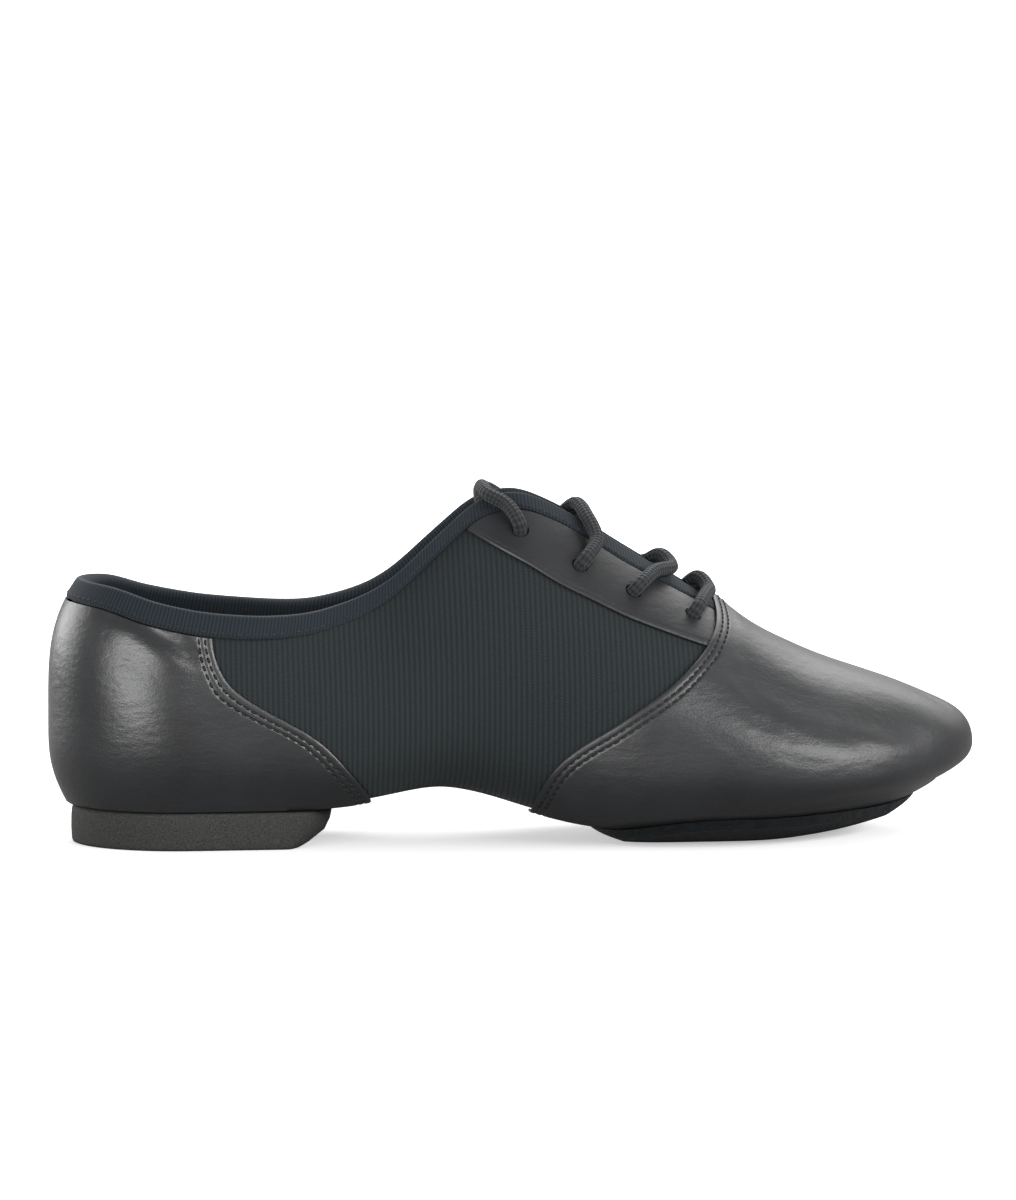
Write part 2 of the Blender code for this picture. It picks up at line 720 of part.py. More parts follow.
def binding_row(along, side):
    """The tape's fold over the upper's edge at one station, from outside to inside."""
    girth = girth_below(along, side, BINDING_OUTSIDE)
    inner_girth = girth_below(along, side, BINDING_INSIDE)
    edge = base_point(along, side, TOP)
    normal = form_normal(along, side, TOP)
    up = (edge - base_point(along, side, TOP - 0.02)).normalized()
    clear = 1.4 * GAP
    inside = -WALL - clear
    rounded = 0.8 * TAPE
    return [
        (place(along, side, girth, clear + TAPE), place(along, side, girth, clear)),
        (edge + normal * (clear + rounded) + up * (clear + rounded), edge + normal * clear + up * clear),
        (edge + normal * (inside - rounded) + up * (clear + rounded), edge + normal * inside + up * clear),
        (place(along, side, inner_girth, inside - TAPE), place(along, side, inner_girth, inside)),
    ]


def make_binding():
    """Ribbed tape folded over the edge, up one side of the throat, round the collar and down."""
    tape = finish("binding tape", (0.022, 0.028, 0.036), 0.8)
    end = along_of(BINDING_END, COLLAR_BACK, RIDGE_END)
    knee = along_of(0.47 * LENGTH, COLLAR_BACK, RIDGE_END)
    alongs = stations(22, 0.0, knee, ease_end=False) + stations(12, knee, end, False, False)[1:]
    sheet = Sheet()
    for side in SIDES:
        sheet.grid([binding_row(along, side) for along in alongs])
    return sheet.solid("binding", tape)


def make_tongue():
    """Plain tongue under the lacing, held under the vamp and reaching the collar."""
    cloth = finish("tongue leather", (0.028, 0.030, 0.032), 0.6)
    under = -(WALL + TAPE + 4 * GAP)
    sheet = Sheet()
    rows = []
    for share in stations(11, ease_start=False, ease_end=False):
        x = TONGUE_TOP + (TONGUE_ROOT - TONGUE_TOP) * share
        along = along_of(x, COLLAR_BACK, RIDGE_END)
        chains = []
        for out in (under, under - TONGUE_THICKNESS):
            chain = []
            for side in SIDES:
                flank = []
                for depth in (TONGUE_OVERLAP, 0.6 * TONGUE_OVERLAP, 0.28 * TONGUE_OVERLAP, 0.0):
                    flank.append(place(along, side, girth_below(along, side, depth), out))
                chain.append(flank)
            left, right = chain[0][-1], chain[1][-1]
            lift = 0.25 * (right - left).length * math.tan(math.radians(top_lean(along)))
            bridge = (left + right) / 2 + Vector((0, 0, lift))
            chains.append(chain[0] + [bridge] + chain[1][::-1])
        rows.append(list(zip(*chains)))
    sheet.grid(rows)
    return sheet.solid("tongue", cloth)


def plan_rows(starts, edge_share, lows, highs):
    """Rows of a piece under or over the form's underside: (upper face, lower face) pairs."""
    spread = (-1.0, -0.86, -0.62, -0.32, 0.0, 0.32, 0.62, 0.86, 1.0)
    rows = []
    for x, share in starts:
        along = along_of(x, FEATHER_BACK, FEATHER_FRONT)
        row = []
        for w in spread:
            half = feather_half(along, MEDIAL if w > 0 else LATERAL)
            y = middle(along) + w * share * edge_share * half
            row.append((Vector((x, y, highs(x, y))), Vector((x, y, lows(x, y, abs(w))))))
        rows.append(row)
    return rows


def make_insole():
    """Sock inside the shoe, following the wall's inner face under the foot."""
    felt = finish("insole sock", (0.030, 0.030, 0.031), 0.9)
    back, front = FEATHER_BACK, LENGTH - FEATHER_FRONT
    rows = []
    for along in stations(32):
        x = back + INSOLE_MARGIN + (front - back - 2 * INSOLE_MARGIN) * along
        row = []
        for w in (-1.0, -0.6, 0.0, 0.6, 1.0):
            half = feather_half(along, MEDIAL if w > 0 else LATERAL)
            y = middle(along) + w * 0.86 * half
            base = clear_height(x, y, WALL + 2 * GAP)
            row.append((Vector((x, y, base + INSOLE_THICKNESS)), Vector((x, y, base))))
        rows.append(row)
    sheet = Sheet()
    sheet.grid(rows)
    return sheet.solid("insole", felt)


def make_forefoot_sole():
    """Split-sole patch under the ball, skived thin at its back and flat where it stands."""
    suede = finish("forefoot sole", (0.018, 0.024, 0.028), 0.9)
    length = SOLE_FRONT - SOLE_BACK
    starts = []
    for share in stations(15):
        x = SOLE_BACK + length * share
        taper = (1 - abs(2 * share - 1) ** 3.4) ** (1 / 2.6)
        starts.append((x, taper))

    def top_face(x, y):
        return clear_height(x, y, -SKIN - GAP)

    def floor_face(x, y, w):
        skive = min(1.0, 0.3 + 0.7 * (x - SOLE_BACK) / SOLE_SKIVE)
        thickness = SOLE_THICKNESS * skive * (1 - 0.18 * w**6)
        return max(0.0, top_face(x, y) - thickness)

    sheet = Sheet()
    sheet.grid(plan_rows(starts, 0.98, floor_face, top_face))
    return sheet.solid("forefoot_sole", suede)


def make_heel():
    """Low rubber heel block with its breast cut back under."""
    rubber = finish("heel rubber", (0.040, 0.040, 0.039), 0.75)
    length = HEEL_BREAST - HEEL_BACK
    spread = (-1.0, -0.84, -0.5, 0.0, 0.5, 0.84, 1.0)
    rows = []
    for share in stations(15):
        x = HEEL_BACK + length * share
        along = along_of(FEATHER_BACK + (HEEL_BREAST - FEATHER_BACK) * share, FEATHER_BACK, FEATHER_FRONT)
        corner = max(0.0, (share - 0.84) / 0.16)
        rounding = math.sqrt(max(0.0, 1 - 0.75 * corner**2.4))
        row = []
        for w in spread:
            half = feather_half(along, MEDIAL if w > 0 else LATERAL) + 0.9 * MM * end_round(along)
            y = w * half * rounding
            top = min(clear_height(x, y, -SKIN - GAP), clear_height(x, 0.0, -SKIN - GAP))
            foot = Vector((x - HEEL_UNDERCUT * share**3, y * 0.985, 0.0))
            row.append((Vector((x, y, top)), foot))
        rows.append(row)
    sheet = Sheet()
    sheet.grid(rows)
    return sheet.solid("heel", rubber)


def tube(name, path, radius, material):
    """A round cord along a smooth path, closed at both ends."""
    corners = 8
    smooth = []
    for i in range(len(path) - 1):
        p0, p1 = path[max(i - 1, 0)], path[i]
        p2, p3 = path[i + 1], path[min(i + 2, len(path) - 1)]
        for step in range(2):
            t = step / 2
            smooth.append(
                0.5 * (2 * p1 + (p2 - p0) * t + (2 * p0 - 5 * p1 + 4 * p2 - p3) * t**2)
                + 0.5 * (3 * p1 - p0 - 3 * p2 + p3) * t**3
            )
    smooth.append(path[-1])
    points, faces = [], []
    frame = None
    for i, point in enumerate(smooth):
        ahead = (smooth[min(i + 1, len(smooth) - 1)] - smooth[max(i - 1, 0)]).normalized()
        if frame is None:
            frame = ahead.orthogonal()
        frame = (frame - ahead * frame.dot(ahead)).normalized()
        across = ahead.cross(frame)
        for c in range(corners):
            angle = 2 * math.pi * c / corners
            points.append(point + radius * (frame * math.cos(angle) + across * math.sin(angle)))
    for i in range(len(smooth) - 1):
        for c in range(corners):
            n = (c + 1) % corners
            faces.append([i * corners + c, i * corners + n, (i + 1) * corners + n, (i + 1) * corners + c])
    last = (len(smooth) - 1) * corners
    faces += [list(range(corners)), [last + c for c in reversed(range(corners))]]
    return new_object(name, points, faces, material)


def strand_path(row, side):
    """One lace strand from above its eyelet, over the throat, to above the far binding."""
    share, depth, mid_shift, edge_shift, centre_shift, end_shift = row
    out = SKIN + 1.4 * GAP + LACE_RADIUS
    along = along_of(share * LENGTH, COLLAR_BACK, RIDGE_END)

    def on_side(shift, down, lift, which):
        station = along + shift / LENGTH
        return place(station, which, girth_below(station, which, down), out + lift)

    centre = on_side(centre_shift, 0.0, 0.0, side)
    centre.y = middle(along)
    centre.z += 2.0 * MM
    return [
        on_side(0.0, depth, 0.2 * MM, side),
        on_side(mid_shift, depth * 0.5, 0.8 * MM, side),
        on_side(edge_shift, 0.4 * MM, 1.1 * MM, side),
        centre,
        on_side(end_shift, 0.4 * MM, 1.1 * MM, -side),
    ]


def make_lace():
    """Round lace where it crosses the throat: one joined crossing for each pair of eyelets."""
    cord = finish("lace cord", (0.016, 0.017, 0.018), 0.8)
    made = []
    for number, row in enumerate(EYELETS, start=1):
        crossing = tube(f"lace_crossing_{number}", strand_path(row, LATERAL), LACE_RADIUS, cord)
        other = tube(f"lace strand {number}", strand_path(row, MEDIAL), LACE_RADIUS * 0.985, None)
        modify(crossing, other, "UNION")
        made.append(crossing)
    return made


def centre_on_floor(pieces):
    """Moves everything so that the middle of the shoe's box is over the origin."""
    corners = [v.co for piece in pieces for v in piece.data.vertices]
    middle_x = (min(c.x for c in corners) + max(c.x for c in corners)) / 2
    middle_y = (min(c.y for c in corners) + max(c.y for c in corners)) / 2
    for obj in bpy.data.objects:
        if obj.type == "MESH":
            for vertex in obj.data.vertices:
                vertex.co -= Vector((middle_x, middle_y, 0.0))


def main():
    for obj in list(bpy.data.objects):
        bpy.data.objects.remove(obj)
    pieces = [
        make_upper(),
        make_vamp(),
        make_counter(),
        make_eyestay(LATERAL, "eyestay_lateral"),
        make_eyestay(MEDIAL, "eyestay_medial"),
        make_binding(),
        make_tongue(),
        make_insole(),
        make_forefoot_sole(),
        make_heel(),
        *make_lace(),
    ]
    centre_on_floor(pieces)


main()
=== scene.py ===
"""Looks of the right shoe of a lace-up, split-sole jazz pair, standing empty on a white floor.

Each piece is drawn finely on the same form as the part's own solids. A place on the form is
(along, side, girth, out): along runs from the heel's back (0) to the toe's tip (1), side is
LATERAL or MEDIAL, girth climbs the side of the foot, and out is the distance off it. Lengths
are metres in the tables of the form, with MM for millimetres.
"""

import math

import bmesh
import bpy
import numpy as np
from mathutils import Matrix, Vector


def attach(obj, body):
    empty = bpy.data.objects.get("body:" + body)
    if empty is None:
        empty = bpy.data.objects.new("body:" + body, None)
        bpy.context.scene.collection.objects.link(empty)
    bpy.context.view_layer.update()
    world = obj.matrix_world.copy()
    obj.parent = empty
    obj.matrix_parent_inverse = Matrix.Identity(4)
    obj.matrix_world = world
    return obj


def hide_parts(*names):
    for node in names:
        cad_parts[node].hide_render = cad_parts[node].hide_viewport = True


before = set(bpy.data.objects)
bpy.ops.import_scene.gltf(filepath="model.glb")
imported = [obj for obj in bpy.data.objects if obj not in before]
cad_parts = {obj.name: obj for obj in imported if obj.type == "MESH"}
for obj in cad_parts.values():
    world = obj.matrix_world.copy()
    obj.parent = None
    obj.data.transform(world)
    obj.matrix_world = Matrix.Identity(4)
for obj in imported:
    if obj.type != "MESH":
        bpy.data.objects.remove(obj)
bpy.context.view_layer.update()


# Camera: a long lens a little above the shoe and turned a little towards its heel, so that the
# whole shoe lies across the picture with plain white above and below it.
MM = 0.001
CAMERA_DISTANCE = 3.0
VIEW_HEIGHT = 321.7 * MM
camera = bpy.data.objects.new("camera", bpy.data.cameras.new("camera"))
bpy.context.scene.collection.objects.link(camera)
bpy.context.scene.camera = camera
turn, tilt = math.radians(-5.0), math.radians(6.5)
towards = Vector((math.sin(turn) * math.cos(tilt), -math.cos(turn) * math.cos(tilt), math.sin(tilt)))
camera.location = Vector((-1.5 * MM, 0.0, 63.7 * MM)) + CAMERA_DISTANCE * towards
camera.rotation_euler = towards.to_track_quat("Z", "Y").to_euler()
camera.data.lens = camera.data.sensor_width * CAMERA_DISTANCE / VIEW_HEIGHT
camera.data.clip_start = 0.1
camera.data.clip_end = 200.0


# Upper: a body of ribbed elastic, cut in one and drawn over the last, open at the collar, the
# throat and underneath; matt blue-black and lined with plain dark cloth. Its lasted outer face is
# the form from which every other piece takes its place, with the part's own sizes and curves.
LENGTH = 250.0 * MM
BALL_BREADTH = 84.0 * MM
WAIST_BREADTH = 54.0 * MM
HEEL_BREADTH = 58.0 * MM
BACK_HEIGHT = 69.8 * MM
QUARTER_HEIGHT = 61.5 * MM
INSTEP_HEIGHT = 92.3 * MM
TOE_BOX_HEIGHT = 34.8 * MM
ARCH_HEIGHT = 14.9 * MM
TOE_SPRING = 9.8 * MM
TOE_SWING = 9.0 * MM
GAP = 0.3 * MM
WALL = 1.4 * MM
LEATHER = 0.9 * MM
HEEL_HEIGHT = 10.0 * MM
SOLE_THICKNESS = 3.0 * MM
COLLAR_BACK = 8.8 * MM
RIDGE_END = 11.2 * MM
FEATHER_BACK = 5.8 * MM
FEATHER_FRONT = 10.5 * MM
COLLAR_HALF_BREADTH = 24.0 * MM
THROAT_END = 179.5 * MM
SKIN = GAP + LEATHER
SEAT = HEEL_HEIGHT + GAP + SKIN
TREAD = SOLE_THICKNESS + GAP + SKIN
LATERAL = -1
MEDIAL = 1
SIDES = (LATERAL, MEDIAL)
HEEL_ROUND = 0.13
TOE_ROUND = 0.18
FEATHER = 1.0
WIDEST = 2.0
TOP = 3.0

# Widest line: along, lateral and medial half breadths, height as a share of the top line's
WIDEST_LINE = (
    (0.00, 0.500 * HEEL_BREADTH, 0.500 * HEEL_BREADTH, 0.530),
    (0.10, 0.500 * HEEL_BREADTH, 0.500 * HEEL_BREADTH, 0.525),
    (0.20, 0.490 * HEEL_BREADTH, 0.488 * HEEL_BREADTH, 0.500),
    (0.30, 0.520 * WAIST_BREADTH, 0.500 * WAIST_BREADTH, 0.478),
    (0.40, 0.530 * WAIST_BREADTH, 0.472 * WAIST_BREADTH, 0.440),
    (0.48, 0.575 * WAIST_BREADTH, 0.495 * WAIST_BREADTH, 0.405),
    (0.56, 0.425 * BALL_BREADTH, 0.370 * BALL_BREADTH, 0.380),
    (0.64, 0.484 * BALL_BREADTH, 0.424 * BALL_BREADTH, 0.362),
    (0.72, 0.508 * BALL_BREADTH, 0.462 * BALL_BREADTH, 0.356),
    (0.80, 0.505 * BALL_BREADTH, 0.466 * BALL_BREADTH, 0.378),
    (0.88, 0.452 * BALL_BREADTH, 0.425 * BALL_BREADTH, 0.440),
    (1.00, 0.360 * BALL_BREADTH, 0.330 * BALL_BREADTH, 0.675),
)

# Feather line: along, share of the half breadth, rise at the edge, degrees the side starts at
FEATHER_LINE = (
    (0.00, 0.80, 0.0 * MM, 62.0),
    (0.12, 0.81, 0.0 * MM, 62.0),
    (0.24, 0.80, 0.1 * MM, 60.0),
    (0.32, 0.77, 0.8 * MM, 50.0),
    (0.39, 0.70, 2.2 * MM, 38.0),
    (0.45, 0.66, 2.4 * MM, 32.0),
    (0.53, 0.70, 2.8 * MM, 30.0),
    (0.60, 0.77, 4.0 * MM, 34.0),
    (0.69, 0.82, 5.2 * MM, 40.0),
    (0.81, 0.83, 5.4 * MM, 42.0),
    (0.88, 0.83, 4.4 * MM, 40.0),
    (0.94, 0.82, 2.9 * MM, 36.0),
    (1.00, 0.80, 0.9 * MM, 30.0),
)

# Underside of the form: along, and how much of the seat, arch, tread and toe spring is in it
UNDERSIDE = (
    (0.000, 1.00, 0.000, 0.000, 0.00),
    (0.120, 1.00, 0.000, 0.000, 0.00),
    (0.240, 1.00, 0.000, 0.000, 0.00),
    (0.300, 0.95, 0.050, 0.000, 0.00),
    (0.331, 0.81, 0.190, 0.000, 0.00),
    (0.361, 0.53, 0.470, 0.000, 0.00),
    (0.391, 0.18, 0.820, 0.000, 0.00),
    (0.420, 0.00, 1.000, 0.000, 0.00),
    (0.450, 0.00, 0.920, 0.080, 0.00),
    (0.479, 0.00, 0.760, 0.240, 0.00),
    (0.508, 0.00, 0.560, 0.440, 0.00),
    (0.538, 0.00, 0.360, 0.640, 0.00),
    (0.573, 0.00, 0.170, 0.830, 0.00),
    (0.602, 0.00, 0.070, 0.930, 0.00),
    (0.647, 0.00, 0.005, 0.995, 0.00),
    (0.700, 0.00, 0.000, 1.000, 0.00),
    (0.760, 0.00, 0.000, 1.000, 0.00),
    (0.800, 0.00, 0.000, 1.000, 0.02),
    (0.846, 0.00, 0.000, 1.000, 0.12),
    (0.875, 0.00, 0.000, 1.000, 0.21),
    (0.920, 0.00, 0.000, 1.000, 0.41),
    (0.955, 0.00, 0.000, 1.000, 0.61),
    (1.000, 0.00, 0.000, 1.000, 1.00),
)

# Top line of the collar and throat: along, how much of the back, quarter, instep and toe height
# is in it, share of the collar's half breadth, degrees it leans in, fullness of the side
TOP_LINE = (
    (0.000, 1.00, 0.00, 0.000, 0.000, 1.00, 56.0, 0.42),
    (0.038, 0.87, 0.13, 0.000, 0.000, 1.00, 61.0, 0.42),
    (0.071, 0.57, 0.43, 0.000, 0.000, 1.00, 67.0, 0.42),
    (0.104, 0.34, 0.66, 0.000, 0.000, 1.00, 71.0, 0.42),
    (0.137, 0.17, 0.83, 0.000, 0.000, 1.00, 74.0, 0.42),
    (0.170, 0.07, 0.93, 0.000, 0.000, 0.99, 75.0, 0.42),
    (0.203, 0.01, 0.99, 0.000, 0.000, 0.94, 74.0, 0.42),
    (0.236, 0.00, 1.00, 0.000, 0.000, 0.82, 71.0, 0.41),
    (0.269, 0.00, 0.98, 0.020, 0.000, 0.67, 66.0, 0.41),
    (0.302, 0.00, 0.92, 0.080, 0.000, 0.54, 60.0, 0.40),
    (0.335, 0.00, 0.83, 0.170, 0.000, 0.44, 56.0, 0.39),
    (0.368, 0.00, 0.68, 0.320, 0.000, 0.37, 52.0, 0.38),
    (0.400, 0.00, 0.47, 0.530, 0.000, 0.32, 48.0, 0.37),
    (0.434, 0.00, 0.24, 0.760, 0.000, 0.28, 44.0, 0.37),
    (0.457, 0.00, 0.10, 0.900, 0.000, 0.25, 42.0, 0.36),
    (0.482, 0.00, 0.02, 0.980, 0.000, 0.23, 40.0, 0.36),
    (0.508, 0.00, 0.00, 0.997, 0.003, 0.22, 38.0, 0.36),
    (0.539, 0.00, 0.00, 0.955, 0.045, 0.21, 35.0, 0.36),
    (0.578, 0.00, 0.00, 0.871, 0.129, 0.20, 31.0, 0.37),
    (0.613, 0.00, 0.00, 0.781, 0.219, 0.20, 27.0, 0.38),
    (0.659, 0.00, 0.00, 0.666, 0.334, 0.19, 21.0, 0.40),
    (0.704, 0.00, 0.00, 0.555, 0.445, 0.18, 14.0, 0.43),
    (0.745, 0.00, 0.00, 0.452, 0.548, 0.17, 10.0, 0.46),
)

# Ridge of the closed toe: along, how much of the instep and toe height is in it, fullness
RIDGE = (
    (0.725, 0.515, 0.485, 0.45),
    (0.760, 0.421, 0.579, 0.48),
    (0.790, 0.347, 0.653, 0.50),
    (0.820, 0.281, 0.719, 0.52),
    (0.848, 0.228, 0.772, 0.53),
    (0.877, 0.182, 0.818, 0.54),
    (0.906, 0.143, 0.857, 0.54),
    (0.936, 0.103, 0.897, 0.55),
    (0.965, 0.060, 0.940, 0.56),
    (1.000, 0.000, 1.000, 0.57),
)

# Swing of the shoe's middle line to the medial side: along, share of the toe's swing
SWING = ((0.00, 0.0), (0.25, 0.0), (0.50, 0.0), (0.62, 0.06), (0.75, 0.26), (0.88, 0.60), (1.00, 1.0))

# Raw edge of the vamp's leather: share of the instep height, share of the length
VAMP_EDGE = (
    (0.04, 0.510),
    (0.12, 0.512),
    (0.18, 0.520),
    (0.25, 0.536),
    (0.31, 0.562),
    (0.36, 0.591),
    (0.42, 0.625),
    (0.47, 0.653),
    (0.53, 0.680),
    (0.58, 0.698),
    (0.64, 0.709),
    (0.70, 0.710),
)

# Raw edge of the counter's leather: share of the back height, share of the length
COUNTER_EDGE = (
    (0.10, 0.348),
    (0.20, 0.338),
    (0.29, 0.319),
    (0.38, 0.296),
    (0.45, 0.272),
    (0.51, 0.242),
    (0.56, 0.217),
    (0.62, 0.193),
    (0.69, 0.178),
    (0.76, 0.171),
    (0.88, 0.169),
)


class Curve:
    """A smooth curve (natural cubic) through one column of a table, read at its first column."""

    def __init__(self, table, column):
        self.x = np.array([row[0] for row in table])
        self.y = np.array([row[column] for row in table])
        count = len(table)
        step = np.diff(self.x)
        slope = np.diff(self.y) / step
        system = np.eye(count)
        right = np.zeros(count)
        for i in range(1, count - 1):
            system[i, i - 1 : i + 2] = step[i - 1], 2 * (step[i - 1] + step[i]), step[i]
            right[i] = 6 * (slope[i] - slope[i - 1])
        self.bend = np.linalg.solve(system, right)

    def __call__(self, at):
        at = np.clip(at, self.x[0], self.x[-1])
        i = np.clip(np.searchsorted(self.x, at) - 1, 0, len(self.x) - 2)
        h = self.x[i + 1] - self.x[i]
        a = (self.x[i + 1] - at) / h
        b = 1 - a
        curved = ((a**3 - a) * self.bend[i] + (b**3 - b) * self.bend[i + 1]) * h * h / 6
        return a * self.y[i] + b * self.y[i + 1] + curved


half_breadth = {LATERAL: Curve(WIDEST_LINE, 1), MEDIAL: Curve(WIDEST_LINE, 2)}
widest_share = Curve(WIDEST_LINE, 3)
feather_share, feather_rise, feather_angle = (Curve(FEATHER_LINE, c) for c in (1, 2, 3))
underside_mix = [Curve(UNDERSIDE, c) for c in (1, 2, 3, 4)]
top_mix = [Curve(TOP_LINE, c) for c in (1, 2, 3, 4)]
collar_share, top_lean, top_fullness = (Curve(TOP_LINE, c) for c in (5, 6, 7))
ridge_mix = [Curve(RIDGE, c) for c in (1, 2)]
ridge_fullness = Curve(RIDGE, 3)
swing_share = Curve(SWING, 1)
vamp_edge = Curve(VAMP_EDGE, 1)
counter_edge = Curve(COUNTER_EDGE, 1)


def mixed(curves, sizes, along):
    return sum(curve(along) * size for curve, size in zip(curves, sizes))


def middle(along):
    return TOE_SWING * swing_share(along)


def end_round(along):
    back = np.maximum(0.0, 1 - along / HEEL_ROUND)
    front = np.maximum(0.0, (along - 1 + TOE_ROUND) / TOE_ROUND)
    return np.sqrt(np.maximum(0.0, 1 - back**2)) * np.sqrt(np.maximum(0.0, 1 - front**2))


def form_x(back, front, along):
    return back + (LENGTH - front - back) * along


def along_of(x, back=COLLAR_BACK, front=RIDGE_END):
    return (x - back) / (LENGTH - front - back)


def underside(along):
    return mixed(underside_mix, (SEAT, ARCH_HEIGHT, TREAD, TOE_SPRING), along)


# The last open station of the throat, and the first where the ridge is closed
THROAT_OPEN = along_of(THROAT_END)
THROAT_SHUT = THROAT_OPEN + 0.012


def top_height(along, opened):
    if opened:
        return mixed(top_mix, (BACK_HEIGHT, QUARTER_HEIGHT, INSTEP_HEIGHT, TOE_BOX_HEIGHT), along)
    return mixed(ridge_mix, (INSTEP_HEIGHT, TOE_BOX_HEIGHT), along)


def feather_half(along, side):
    return half_breadth[side](along) * feather_share(along) * end_round(along)


def feather_towards(along, y):
    """The feather line's half breadth on the side where y lies."""
    return np.where(y > 0, feather_half(along, MEDIAL), feather_half(along, LATERAL))


def crown(share):
    return np.maximum(0.0, (share - 0.45) / 0.55) ** 2


def bezier(a, b, c, d, t):
    s = 1 - t
    return a * s**3 + b * (3 * s * s * t) + c * (3 * s * t * t) + d * t**3


def level(start, end, side):
    """Level unit vectors from start towards end."""
    run = (end - start) * (1, 1, 0)
    length = np.linalg.norm(run, axis=-1, keepdims=True)
    return np.where(length > 1e-9, run / np.maximum(length, 1e-9), (0.0, side, 0.0))


def rib_point(along, side, girth, opened):
    """Points of the form where it is open on top, or where it is closed."""
    y, rounding = middle(along), end_round(along)
    feather = np.stack(
        [
            form_x(FEATHER_BACK, FEATHER_FRONT, along),
            y + side * feather_half(along, side),
            underside(along) + feather_rise(along),
        ],
        -1,
    )
    height = top_height(along, opened)
    widest_half = half_breadth[side](along) * rounding
    widest = np.stack([form_x(SKIN, SKIN, along), y + side * widest_half, widest_share(along) * height], -1)
    top_half = collar_share(along) * COLLAR_HALF_BREADTH * rounding if opened else 0.0 * along
    top = np.stack([form_x(COLLAR_BACK, RIDGE_END, along), y + side * top_half, height], -1)
    up = np.array((0.0, 0.0, 1.0))

    share = np.clip(girth, 0, FEATHER)
    under_foot = np.stack(
        [
            feather[..., 0], y + (feather[..., 1] - y) * share,
            underside(along) + feather_rise(along) * crown(share),
        ],
        -1,
    )

    angle = np.radians(feather_angle(along))[..., None]
    reach = 0.42 * np.linalg.norm(widest - feather, axis=-1, keepdims=True)
    low = feather + reach * (level(feather, widest, side) * np.cos(angle) + up * np.sin(angle))
    high = widest - up * 0.46 * (widest - feather)[..., 2:]
    lower_side = bezier(feather, low, high, widest, np.clip(girth - FEATHER, 0, 1)[..., None])

    lean = np.radians(top_lean(along))[..., None] if opened else np.zeros(along.shape + (1,))
    full = (top_fullness(along) if opened else ridge_fullness(along))[..., None]
    outward = level(top, widest, side)
    rise = (top - widest)[..., 2:]
    run = np.linalg.norm((top - widest)[..., :2], axis=-1, keepdims=True)
    reach = full * (run * np.cos(lean) + rise * np.sin(lean))
    ends = (0.0, THROAT_OPEN) if opened else (THROAT_SHUT, 1.0)
    before, after = np.clip(along - 0.003, *ends), np.clip(along + 0.003, *ends)
    slope = (top_height(after, opened) - top_height(before, opened)) / (
        (after - before) * (LENGTH - COLLAR_BACK - RIDGE_END)
    )
    pull = outward * np.cos(lean) + up * (slope[..., None] * outward[..., :1] * np.cos(lean) - np.sin(lean))
    upper_side = bezier(
        widest, widest + up * full * rise, top + reach * pull, top, np.clip(girth - WIDEST, 0, 1)[..., None]
    )
    upper_side = np.where(girth[..., None] <= WIDEST, lower_side, upper_side)
    return np.where(girth[..., None] <= FEATHER, under_foot, upper_side)


def base(along, side, girth):
    """Points of the form's own surface, with the throat's end closing over a few millimetres."""
    along, girth = np.broadcast_arrays(np.asarray(along, float), np.asarray(girth, float))
    shut = np.clip((along - THROAT_OPEN) / (THROAT_SHUT - THROAT_OPEN), 0, 1)[..., None]
    opened = rib_point(np.minimum(along, THROAT_OPEN), side, girth, True)
    closed = rib_point(np.maximum(along, THROAT_SHUT), side, girth, False)
    return opened * (1 - shut) + closed * shut


def facing(along, side, girth):
    """Outward unit normals of the form."""
    along, girth = np.broadcast_arrays(np.asarray(along, float), np.asarray(girth, float))
    ahead, behind = np.minimum(along + 1e-4, 1), np.maximum(along - 1e-4, 0)
    above, below = np.minimum(girth + 0.01, TOP), np.maximum(girth - 0.01, 0)
    lengthwise = base(ahead, side, girth) - base(behind, side, girth)
    upward = base(along, side, above) - base(along, side, below)
    normal = np.cross(lengthwise, upward) * -side
    mirrored = (along <= 0) | (along >= 1) | (girth <= 0) | ((girth >= TOP) & (along >= THROAT_SHUT))
    normal[..., 1] = np.where(mirrored, 0.0, normal[..., 1])
    return normal / np.maximum(np.linalg.norm(normal, axis=-1, keepdims=True), 1e-12)


def place(along, side, girth, out=0.0):
    """Points off the form's surface."""
    return base(along, side, girth) + facing(along, side, girth) * np.asarray(out)[..., None]


def fall(side):
    """Girths at even depths below the top line, measured down the form, for 801 stations."""
    girths = np.linspace(TOP, FEATHER, 81)
    points = base(np.linspace(0, 1, 801)[:, None], side, girths)
    fallen = np.pad(np.cumsum(np.linalg.norm(np.diff(points, axis=1), axis=-1), axis=1), ((0, 0), (1, 0)))
    return np.array([np.interp(np.linspace(0, DEEPEST, 121), row, girths) for row in fallen])


DEEPEST = 30.0 * MM
depth_table = {side: fall(side) for side in SIDES}


def girth_below(along, side, depth):
    """The girths that lie this far below the top line."""
    along, depth = np.broadcast_arrays(np.asarray(along, float), np.asarray(depth, float))
    table = depth_table[side]
    row, column = np.clip(along, 0, 1) * 800, np.clip(depth / DEEPEST, 0, 1) * 120
    i, j = np.minimum(row.astype(int), 799), np.minimum(column.astype(int), 119)
    a, b = row - i, column - j
    low = table[i, j] * (1 - b) + table[i, j + 1] * b
    return low * (1 - a) + (table[i + 1, j] * (1 - b) + table[i + 1, j + 1] * b) * a


def edge_station(edge, height, side):
    """A function from girth to the station where a leather's raw edge crosses the form."""
    girths = np.linspace(FEATHER, TOP, 160)
    along = np.full(girths.shape, edge(0.5))
    for _ in range(30):
        point = base(along, side, girths)
        along = along + 0.6 * (edge(point[..., 2] / height) - point[..., 0] / LENGTH)
    return lambda girth: np.interp(girth, girths, along)


def smooth_step(low, high, at):
    t = np.clip((at - low) / (high - low), 0, 1)
    return t * t * (3 - 2 * t)


